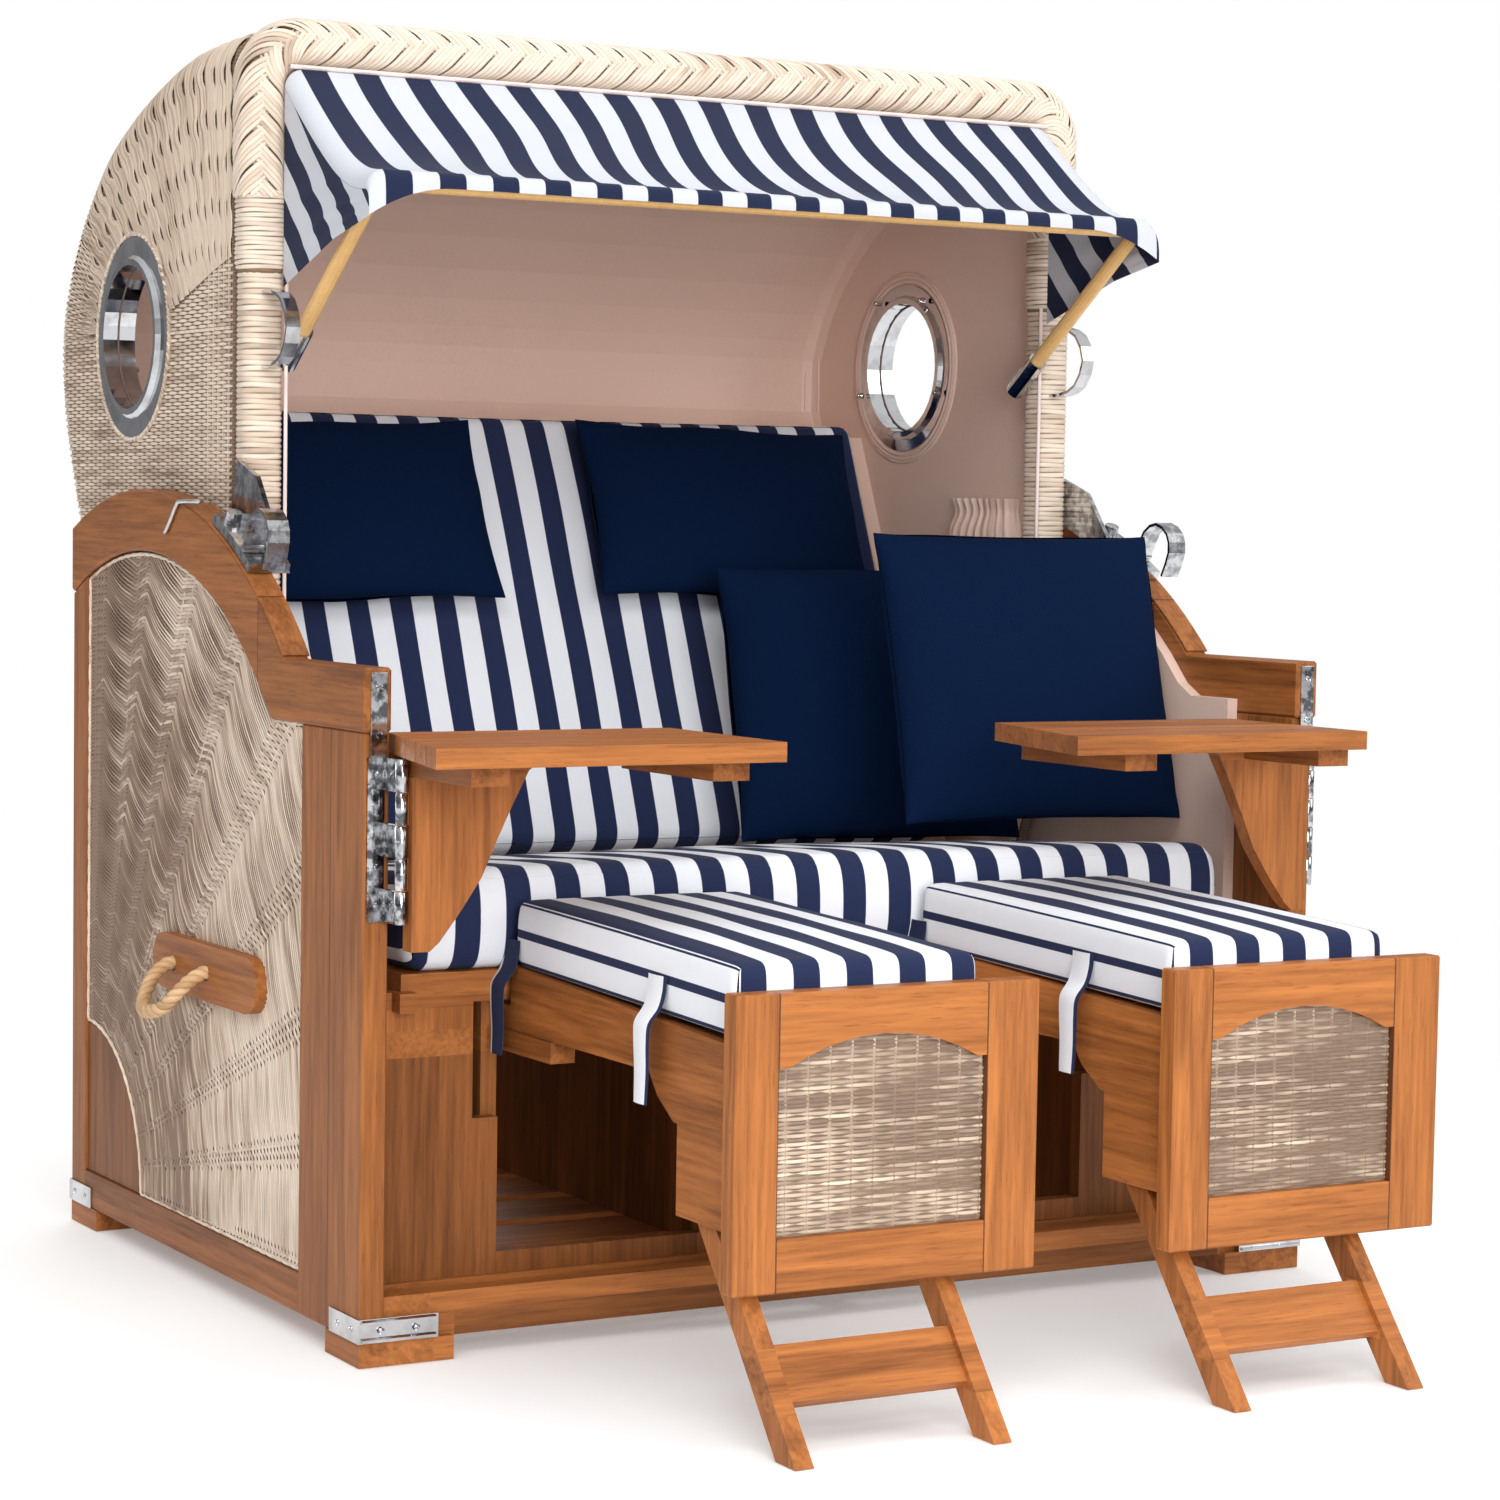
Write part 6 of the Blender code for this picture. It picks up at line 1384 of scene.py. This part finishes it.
def makeCushions():
    thick = (seat["frontThick"] + seat["backThick"]) / 2
    wedge = (seat["backThick"] - seat["frontThick"]) / (2 * thick)
    place = Matrix.Translation((0, (seat["front"] + seat["back"]) / 2 + baseY, seat["low"]))
    size = (2 * seat["half"] - 0.006, seat["back"] - seat["front"] - 0.004, thick)
    cushion = boxedCushion("seatCushion", size, place, 0.014, paint["seatStripes"], "base", 0.013, 0.030, 0.004,
                           wedge=wedge, slack=0.0012, seed=0.4)
    soften(cushion)
    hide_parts("seat_cushion")

    place = backFrame(0.640 / 2, 0.068 - 0.0003)
    cushion = boxedCushion("backCushion", (1.056, 0.636, 0.054), place, 0.014,
                           paint["backStripes"], "hood", 0.011,
                           0.020, 0.004, slack=0.0016, seed=1.9)
    soften(cushion)
    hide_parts("back_cushion")

    for word, x, along, turn in headPlaces:
        place = backFrame(along, -0.085 / 2 - 0.0003, x) @ Matrix.Rotation(math.radians(turn), 4, "Z")
        cushion = knifeCushion("headCushion_" + word, (0.438, 0.263, 0.080), place, 30, "hood", seed=x * 9)
        puff(cushion, 2.6, 0.004)
        soften(cushion)
        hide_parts("head_cushion_" + word)
    for name, x, y, low, lean, turn in throwPlaces:
        place = Matrix.Translation((x, y + baseY, low)) @ Matrix.Rotation(math.radians(turn), 4, "Z")
        place = place @ Matrix.Rotation(math.radians(90 - lean), 4, "X") @ Matrix.Translation((0, 0.390 / 2, 0))
        cushion = knifeCushion(name.replace("throw_cushion_", "throwCushion_"), (0.413, 0.388, 0.130),
                               place, 34, "base",
                               seed=y * 11 + 2)
        puff(cushion, 2.6, 0.005)
        soften(cushion)
        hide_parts(name)
    for word, start in footUnits.items():
        lo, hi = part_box("footrest_cushion_" + word)
        left, right = start + 0.015, start + 0.015 + 0.295
        front, back = lo.y, hi.y
        tilt = math.atan((0.431 - 0.407) / 0.746)
        place = Matrix.Translation(((left + right) / 2, (front + back) / 2, (0.407 + 0.431) / 2 + 0.0025))
        place = place @ Matrix.Rotation(tilt, 4, "X")
        cushion = boxedCushion("footCushion_" + word, (right - left - 0.002, back - front - 0.006, 0.078),
                               place, 0.012,
                               paint[word + "Stripes"], "footrest_" + word, 0.006, 0.013, 0.0025, slack=0.0008,
                               seed=start * 7, band=paint["footBand"])
        soften(cushion)
        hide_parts("footrest_cushion_" + word)


# Awning

awning = {
    "rear": (-0.0018, 1.4720),
    "reach": 0.2332,
    "fall": 0.1355,
    "half": 0.5545,
    "bend": 0.024,
    "rows": ((0, 0), (0.22, 0.30), (0.46, 0.60), (0.68, 0.835), (0.86, 0.960), (1, 1.0), (1.045, 1.005),
             (1.078, 1.045), (1.090, 1.12), (1.092, 1.21)),
    "hem": (1.317, 0.035, 0.446),  # height of the lower edge, its drop to the corners and where that starts
    "low": ((-0.262, 1.281), (-0.257, 1.281), (-0.156, 1.261), (0.011, 1.207)),
    "fold": 0.0085,
    "flat": (1.60, 0.34),
}


def sheetGrid(points, uv, start):
    rows, columns = points.shape[:2]
    spot = start + columns * np.arange(rows - 1)[:, None] + np.arange(columns - 1)[None, :]
    faces = np.stack((spot, spot + 1, spot + columns + 1, spot + columns), -1).reshape(-1, 4)
    return points.reshape(-1, 3), uv.reshape(-1, 2), faces


def makeAwning():
    a = awning
    shares = smoothPath(a["rows"], 5)
    y = a["rear"][0] - a["reach"] * shares[:, 0]
    z = a["rear"][1] - a["fall"] * np.minimum(shares[:, 1], 1)
    along = np.concatenate(([0.0], np.cumsum(np.hypot(np.diff(y), a["fall"] * np.diff(shares[:, 1])))))
    inner = a["half"] - a["bend"]
    turns = np.radians(np.linspace(90, 0, 9))[1:]
    x = np.linspace(-inner, inner, 180)
    beyond = inner + a["bend"] * (math.pi / 2 - turns)
    across = np.concatenate((-beyond[::-1], x, beyond))
    corner = inner + a["bend"] * np.cos(turns)
    drop = a["bend"] * (1 - np.sin(turns))
    drop = np.concatenate((drop[::-1], 0 * x, drop))
    x = np.concatenate((-corner[::-1], x, corner))
    edge, dip, straight = a["hem"]
    edge = edge - dip * np.clip((np.abs(x) - straight) / (a["half"] - straight), 0, 1) ** 2
    hem = np.clip((shares[:, 1] - 1) / 0.21, 0, 1)[:, None]
    height = z[:, None] - drop[None, :]
    height = (1 - hem) * height + hem * edge[None, :]
    belly = np.clip(shares[:, 0], 0, 1)
    belly = (4 * belly * (1 - belly))[:, None] * np.clip(1 - (x / inner) ** 6, 0, 1)[None, :]
    lean = shares[:, 0][:, None]
    fold = np.sin(math.tau * (x * 1.7 + lean * 0.85 + 0.15))
    fold = fold + 0.55 * np.sin(math.tau * (x * 3.6 - lean * 0.5 + 0.4))
    fold *= np.clip(0.55 - x * 0.8, 0.25, 1.1)
    top = np.stack((np.broadcast_to(x, fold.shape), np.broadcast_to(y[:, None], fold.shape), height), -1)
    top[..., 2] += belly * a["fold"] * (fold - 0.3)
    top[..., 1] += belly * 0.004 * fold
    drift = 0.014 * belly * np.sin(math.tau * (x * 1.3 + lean * 0.6))
    grids = [(top, np.stack((across + drift, np.broadcast_to(along[:, None], fold.shape)), -1))]
    low = np.interp(y, *np.transpose(a["low"]))
    brink = height[:, 0]
    for side in (-1, 1):
        depth = np.maximum(brink - low, 0.0005)
        t = np.linspace(0, 1, 26)
        sway = 0.0035 * np.sin(math.tau * (t[None, :] * 1.4 + shares[:, 0][:, None] * 1.1)) * np.sin(
            math.pi * t)[None, :] * np.clip(4 * shares[:, 0] * (1.05 - shares[:, 0]), 0, 1)[:, None]
        points = np.stack((side * (a["half"] - np.abs(sway)), np.broadcast_to(y[:, None], sway.shape),
                           brink[:, None] - depth[:, None] * t[None, :]), -1)
        uv = np.stack(((points[..., 1] - points[..., 2]) * 0.75 + 0.02 * side, points[..., 2]), -1)
        if side < 0:
            points, uv = points[:, ::-1], uv[:, ::-1]
        grids.append((points, uv))
    parts, start = [], 0
    for points, uv in grids:
        parts.append(sheetGrid(points, uv, start))
        start += points.shape[0] * points.shape[1]
    points, uv, faces = (np.concatenate(group) for group in zip(*parts))
    piece = addMesh("awningCloth", toRow(points), faces, uv, paint["awningStripes"], None)
    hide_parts("awning_cloth")
    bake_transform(piece)
    # pale edging where the cloth is fixed under the plait
    x = np.linspace(-0.548, 0.548, 60)
    line = toRow(np.stack((x, np.full(60, -0.0012), np.full(60, 1.4752)), 1))
    tubes("awningEdging", [line], 0.0028, paint["palePiping"], "hood")


# Rope handles, pocket and straps

rope = {"start": 0.6446, "out": 0.070, "half": 0.055, "drop": 0.050, "middle": (0.023, 0.388), "offset": 0.0043,
        "strand": 0.0046, "lay": 0.034}


def ropeHandle(word, side):
    route = ((-0.05, 1, 0), (0.28, 1, 0), (0.60, 0.94, -0.30), (0.86, 0.64, -0.82), (1, 0, -1))
    route = route + tuple((a, -b, c) for a, b, c in route[-2::-1])
    points = [(side * (rope["start"] + a * rope["out"]), rope["middle"][0] + b * rope["half"],
               rope["middle"][1] + c * rope["drop"]) for a, b, c in route]
    path = resample(toRow(smoothPath(points, 12)), 130)
    _, across, up = frames(path)
    turn = np.linspace(0, math.tau * pathLength(path) / rope["lay"], len(path))
    strands = []
    for k in range(3):
        angle = (turn + math.tau * k / 3)[:, None]
        strands.append(path + rope["offset"] * (across * np.cos(angle) + up * np.sin(angle)))
    piece = tubes("ropeHandle_" + word, strands, rope["strand"], paint["rope"], "base", around=12)
    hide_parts("rope_handle_" + word)


pocket = {
    "y": 0.162, "low": 0.780, "high": 0.975, "width": 0.172, "swell": 0.020, "wall": 0.5742,
    "rows": ((1, 0, 0.10), (1.05, 0.12, 0.55), (1.06, 0.40, 0.80), (1, 0.75, 0.80), (0.88, 0.90, 0.45),
             (0.93, 1, 0.70)),
    "gather": 0.0042, "folds": 9, "flat": (0.22, 0.24),
}


def makePocket():
    p = pocket
    shares = smoothPath(p["rows"], 7)
    q = np.linspace(-1, 1, 90)
    high = shares[:, 1][:, None]
    y = p["y"] + q[None, :] * 0.5 * p["width"] * shares[:, 0][:, None]
    z = p["low"] + (p["high"] - p["low"]) * high + 0 * y
    edge = np.clip(1 - np.abs(q) ** 8, 0, 1) ** 0.5
    wander = q + 0.03 * np.sin(7 * high + 2 * q[None, :])
    folds = np.sin(math.pi * p["folds"] * wander) + 0.45 * np.sin(math.pi * (p["folds"] * 1.9) * wander + 1.0)
    depth = p["swell"] * shares[:, 2][:, None] + p["gather"] * folds * np.clip(high * 1.3 - 0.15, 0.0, 1.0)
    x = p["wall"] - np.maximum(depth, 0.0012) * edge[None, :]
    points, uv, faces = sheetGrid(np.stack((x, y, z), -1), np.stack((y, z), -1), 0)
    piece = addMesh("pocketCloth", toRow(points), faces, uv, paint["pocket"], "hood")
    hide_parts("side_pocket")


strap = {"width": 0.042, "slim": 0.29,
         "kinds": (("front", -0.770, 0.326, 0.004, "whiteStrap"), ("rear", -0.420, 0.331, 0.003, "navyStrap")),
         "route": ((0.0135, 0.462), (0.0125, 0.445), (0.008, 0.428), (-0.0030, 0.412), (-0.0042, 0.392),
                   (-0.0030, 0.360)),
         "flat": (0.038, 0.145)}


def footStraps(word, start):
    for place, y, low, shift, finish in strap["kinds"]:
        route = strap["route"] + ((-0.0035, low),)
        line = smoothPath([(start + a, z) for a, z in route], 5)
        across = np.linspace(-0.5, 0.5, 9) * strap["width"]
        curl = 0.0016 * np.cos(np.linspace(-0.5, 0.5, 9) * math.pi)
        x = line[:, 0][:, None] - curl[None, :]
        lean = np.linspace(0, shift, len(line))[:, None]
        slim = 1 - strap["slim"] * np.linspace(0, 1, len(line))[:, None] ** 1.5
        points = np.stack((x, y + across[None, :] * slim + lean,
                           np.broadcast_to(line[:, 1][:, None], x.shape)), -1)
        uv = np.stack((np.broadcast_to(across, x.shape), np.broadcast_to(line[:, 1][:, None], x.shape)), -1)
        flat, uvs, faces = sheetGrid(points, uv, 0)
        name = "footStrap_" + word + place.capitalize()
        piece = addMesh(name, toRow(flat), faces, uvs, paint[finish], "footrest_" + word)


# Small fittings

def screwHead(shape, centre, axis, radius, turn=0.5):
    # a low domed head with a cross cut
    normal = Vector(axis).normalized()
    side = normal.orthogonal().normalized()
    up = normal.cross(side)
    rings = []
    for share, lift in ((1.0, -0.15), (1.0, 0.12), (0.86, 0.34), (0.62, 0.46), (0.36, 0.50), (0.14, 0.50)):
        ring = []
        for k in range(24):
            angle = math.tau * k / 24 + turn
            cut = 0.34 if share < 0.7 and abs(math.sin(2 * (angle - turn))) < 0.3 else 0.0
            spot = (side * math.cos(angle) + up * math.sin(angle)) * share + normal * (lift - cut)
            ring.append(shape.verts.new(Vector(centre) + spot * radius))
        rings.append(ring)
    for low, high in zip(rings, rings[1:]):
        for k in range(24):
            shape.faces.new((low[k], low[(k + 1) % 24], high[(k + 1) % 24], high[k]))
    shape.faces.new(rings[-1])


def plate(shape, centre, size, bevel):
    made = bmesh.ops.create_cube(shape, size=1.0)["verts"]
    bmesh.ops.scale(shape, vec=size, verts=made)
    bmesh.ops.translate(shape, vec=centre, verts=made)
    edges = [edge for edge in shape.edges if edge.verts[0] in made]
    bmesh.ops.bevel(shape, geom=edges, offset=bevel, segments=3, affect="EDGES", profile=0.6)


def fitting(name, build, material, body):
    shape = bmesh.new()
    build(shape)
    bmesh.ops.recalc_face_normals(shape, faces=shape.faces)
    mesh = bpy.data.meshes.new(name)
    shape.to_mesh(mesh)
    shape.free()
    mesh.materials.append(material)
    return addPiece(name, mesh, body)


trim = {
    "endPlate": {"centre": (0.636, -0.4818, 0.7225), "size": (0.0195, 0.0020, 0.092), "screws": (0.700, 0.752)},
    "hingeScrews": {"x": 0.6360, "y": -0.4758, "heights": (0.5137, 0.5556, 0.6154, 0.6573)},
    "screwRadii": {"endPlate": 0.0042, "hinge": 0.0040, "bracket": 0.0036},
    "screwProud": 0.0010,  # how far the heads' edges stand before the metal
    "bentRod": ((0.127, 0.910), (0.104, 0.929), (0.084, 0.9475), (0.070, 0.9515), (-0.004, 0.952)),
    "portPins": (58, 122, -20, 200),
}


def armFittings(word, side):
    end, hinge, radii = trim["endPlate"], trim["hingeScrews"], trim["screwRadii"]
    proud, front = trim["screwProud"], (0, -1, 0)

    def build(shape):
        x, y, z = end["centre"]
        plate(shape, (side * x, y + baseY, z), end["size"], 0.0007)
        for height in end["screws"]:
            screwHead(shape, (side * x, y + baseY - proud, height), front, radii["endPlate"])
        for k, height in enumerate(hinge["heights"]):
            place = (side * hinge["x"], hinge["y"] + baseY - proud, height)
            screwHead(shape, place, front, radii["hinge"], 0.4 + k)

    fitting("armFittings_" + word, build, paint["hingeMetal"], "base")


barrel = {"low": 0.4955, "high": 0.6755, "knuckles": 5, "radius": 0.0069, "place": (0.6205, -0.509)}


def hingeBarrel(word, side):
    # round sleeves on the knuckles of the table hinge, turn and turn about on the post and the table
    length = (barrel["high"] - barrel["low"]) / barrel["knuckles"]
    x, y = barrel["place"]
    radii = barrel["radius"] * np.array((0.05, 0.90, 1.0, 1.0, 0.90, 0.05))
    for first, body in ((0, "base"), (1, "table_" + word)):
        paths = []
        for k in range(first, barrel["knuckles"], 2):
            low = barrel["low"] + k * length
            marks = (low + 0.0004, low + 0.0005, low + 0.0014, low + length - 0.0014, low + length - 0.0005,
                     low + length - 0.0004)
            paths.append(toRow([(side * x, y, z) for z in marks]))
        tubes("hingeBarrel_" + word + body.split("_")[0].capitalize(), paths, radii, paint["hingeMetal"], body,
              around=18)


def bracketScrews():
    # two screws in each of the two outer faces of the four corner brackets
    radius = trim["screwRadii"]["bracket"]
    corners = [(word, side, place, out) for word, side in sides for place, out in (("front", -1), ("rear", 1))]
    brackets = [name for name in nodes if "bracket" in name and "table" not in name]

    def build(shape):
        for word, side, place, out in corners:
            for name in brackets:
                if word in name and place in name:
                    lo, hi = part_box(name)
                    x, y = hi.x if side > 0 else lo.x, hi.y if out > 0 else lo.y
                    middle = (lo.z + hi.z) / 2
                    for share in (0.28, 0.72):
                        along, across = lo.y + (hi.y - lo.y) * share, lo.x + (hi.x - lo.x) * share
                        screwHead(shape, (x, along, middle), (side, 0, 0), radius, share * 9)
                        screwHead(shape, (across, y, middle), (0, out, 0), radius, share * 5)

    fitting("bracketScrews", build, paint["metal"], "base")


def ringPath(centre, radius, x, count=72):
    turn = np.linspace(0, math.tau, count, endpoint=False)
    y, z = centre[0] + radius * np.cos(turn), centre[1] + radius * np.sin(turn)
    return toRow(np.stack((np.full(count, x), y, z), 1))


portRings = {  # radius round the port's middle, distance from the chair's middle, thickness
    "seam": (0.0915, 0.5885, 0.0012),
    "cord": (0.1322, 0.6022, 0.0022),
    "padding": (0.1250, 0.5738, 0.0040),
    "outerPadding": (0.1315, 0.5742, 0.0040),
    "piping": (0.1362, 0.5735, 0.0021),
}


def portTrim(word, side):
    port = hood["port"]
    radius, x, thick = portRings["seam"]
    tubes("portSeam_" + word, [ringPath(port, radius, side * x)], thick, paint["seam"], "hood",
          around=6, closed=True)
    turn = np.linspace(0, math.tau * 62, 720, endpoint=False)
    radius, x, thick = portRings["cord"]
    coils = []
    for phase in (0, math.pi):
        ring = ringPath(port, radius, side * x, 720)
        ring[:, 0] += side * 0.0013 * np.cos(turn + phase)
        grow = 1 + 0.0012 / radius * np.sin(turn + phase)
        ring[:, 1] = port[0] + baseY + (ring[:, 1] - port[0] - baseY) * grow
        ring[:, 2] = port[1] + (ring[:, 2] - port[1]) * grow
        coils.append(ring)
    tubes("portCord_" + word, coils, thick, paint["caneWrap"], "hood", around=6, closed=True)
    pad = []
    for radius, x, thick in (portRings["padding"], portRings["outerPadding"]):
        pad.append(ringPath(port, radius, side * x))
    tubes("portPadding_" + word, pad, thick, paint["hide"], "hood", around=10, closed=True)
    radius, x, thick = portRings["piping"]
    tubes("portPiping_" + word, [ringPath(port, radius, side * x)], thick, paint["piping"], "hood",
          closed=True)
    pins = []
    for angle in trim["portPins"]:
        turned = math.radians(angle)
        y, z = port[0] + 0.1115 * math.cos(turned), port[1] + 0.1115 * math.sin(turned)
        pins.append(toRow([(side * x, y, z) for x in (0.5668, 0.5630, 0.5600, 0.5575, 0.5560, 0.5555)]))
    radii = np.array((0.0042, 0.0042, 0.0030, 0.0040, 0.0034, 0.0004))
    tubes("portPins_" + word, pins, radii, paint["metal"], "hood", around=12)


def liningTrim(word, side):
    guides = ((0.530, 1.395), (0.542, 1.385), (0.561, 1.368), (0.606, 1.314), (0.633, 1.256), (0.649, 1.197),
              (0.649, 1.107))
    line = smoothPath([(side * 0.5605, y, z) for y, z in guides], 8)
    inner = line + (0, -0.016, -0.003)
    inner[:, 0] = side * 0.5735
    tubes("liningSeam_" + word, [toRow(line), toRow(inner)], 0.0017, paint["piping"], "hood")
    z = np.linspace(0.606, 1.232, 60)
    column = toRow(np.stack((np.full(60, side * 0.5482), np.full(60, 0.0030), z), 1))
    tubes("columnPiping_" + word, [column], 0.0024, paint["palePiping"], "hood")


def makeFittings():
    for word, side in sides:
        armFittings(word, side)
        hingeBarrel(word, side)
        portTrim(word, side)
        liningTrim(word, side)
        ropeHandle(word, side)
        footStraps(word, footUnits[word])
    bracketScrews()
    rod = smoothPath([(-0.656, y, z) for y, z in trim["bentRod"]], 6)
    radii = np.full(len(rod), 0.0028)
    radii[[0, -1]] = 0.0004
    rod[0], rod[-1] = rod[1] + (rod[0] - rod[1]) * 0.2, rod[-2] + (rod[-1] - rod[-2]) * 0.2
    tubes("bentRod", [toRow(rod)], radii, paint["metal"], "base")
    makePocket()


makeGroups()
makeCamera()
makeLights()
makeMaterials()
dressFrame()
print("materials on the frame")
for word, side in sides:
    hoodSide(word, side)
    baseWeave(word, side)
    panelEdge(word, side)
    rimWraps(word, side)
    windowWeave(word, footUnits[word])
hoodBack()
backWeave()
rimBraid()
print("wicker woven")
makeCushions()
print("cushions stuffed")
makeAwning()
makeFittings()
print("awning hung and fittings screwed on")
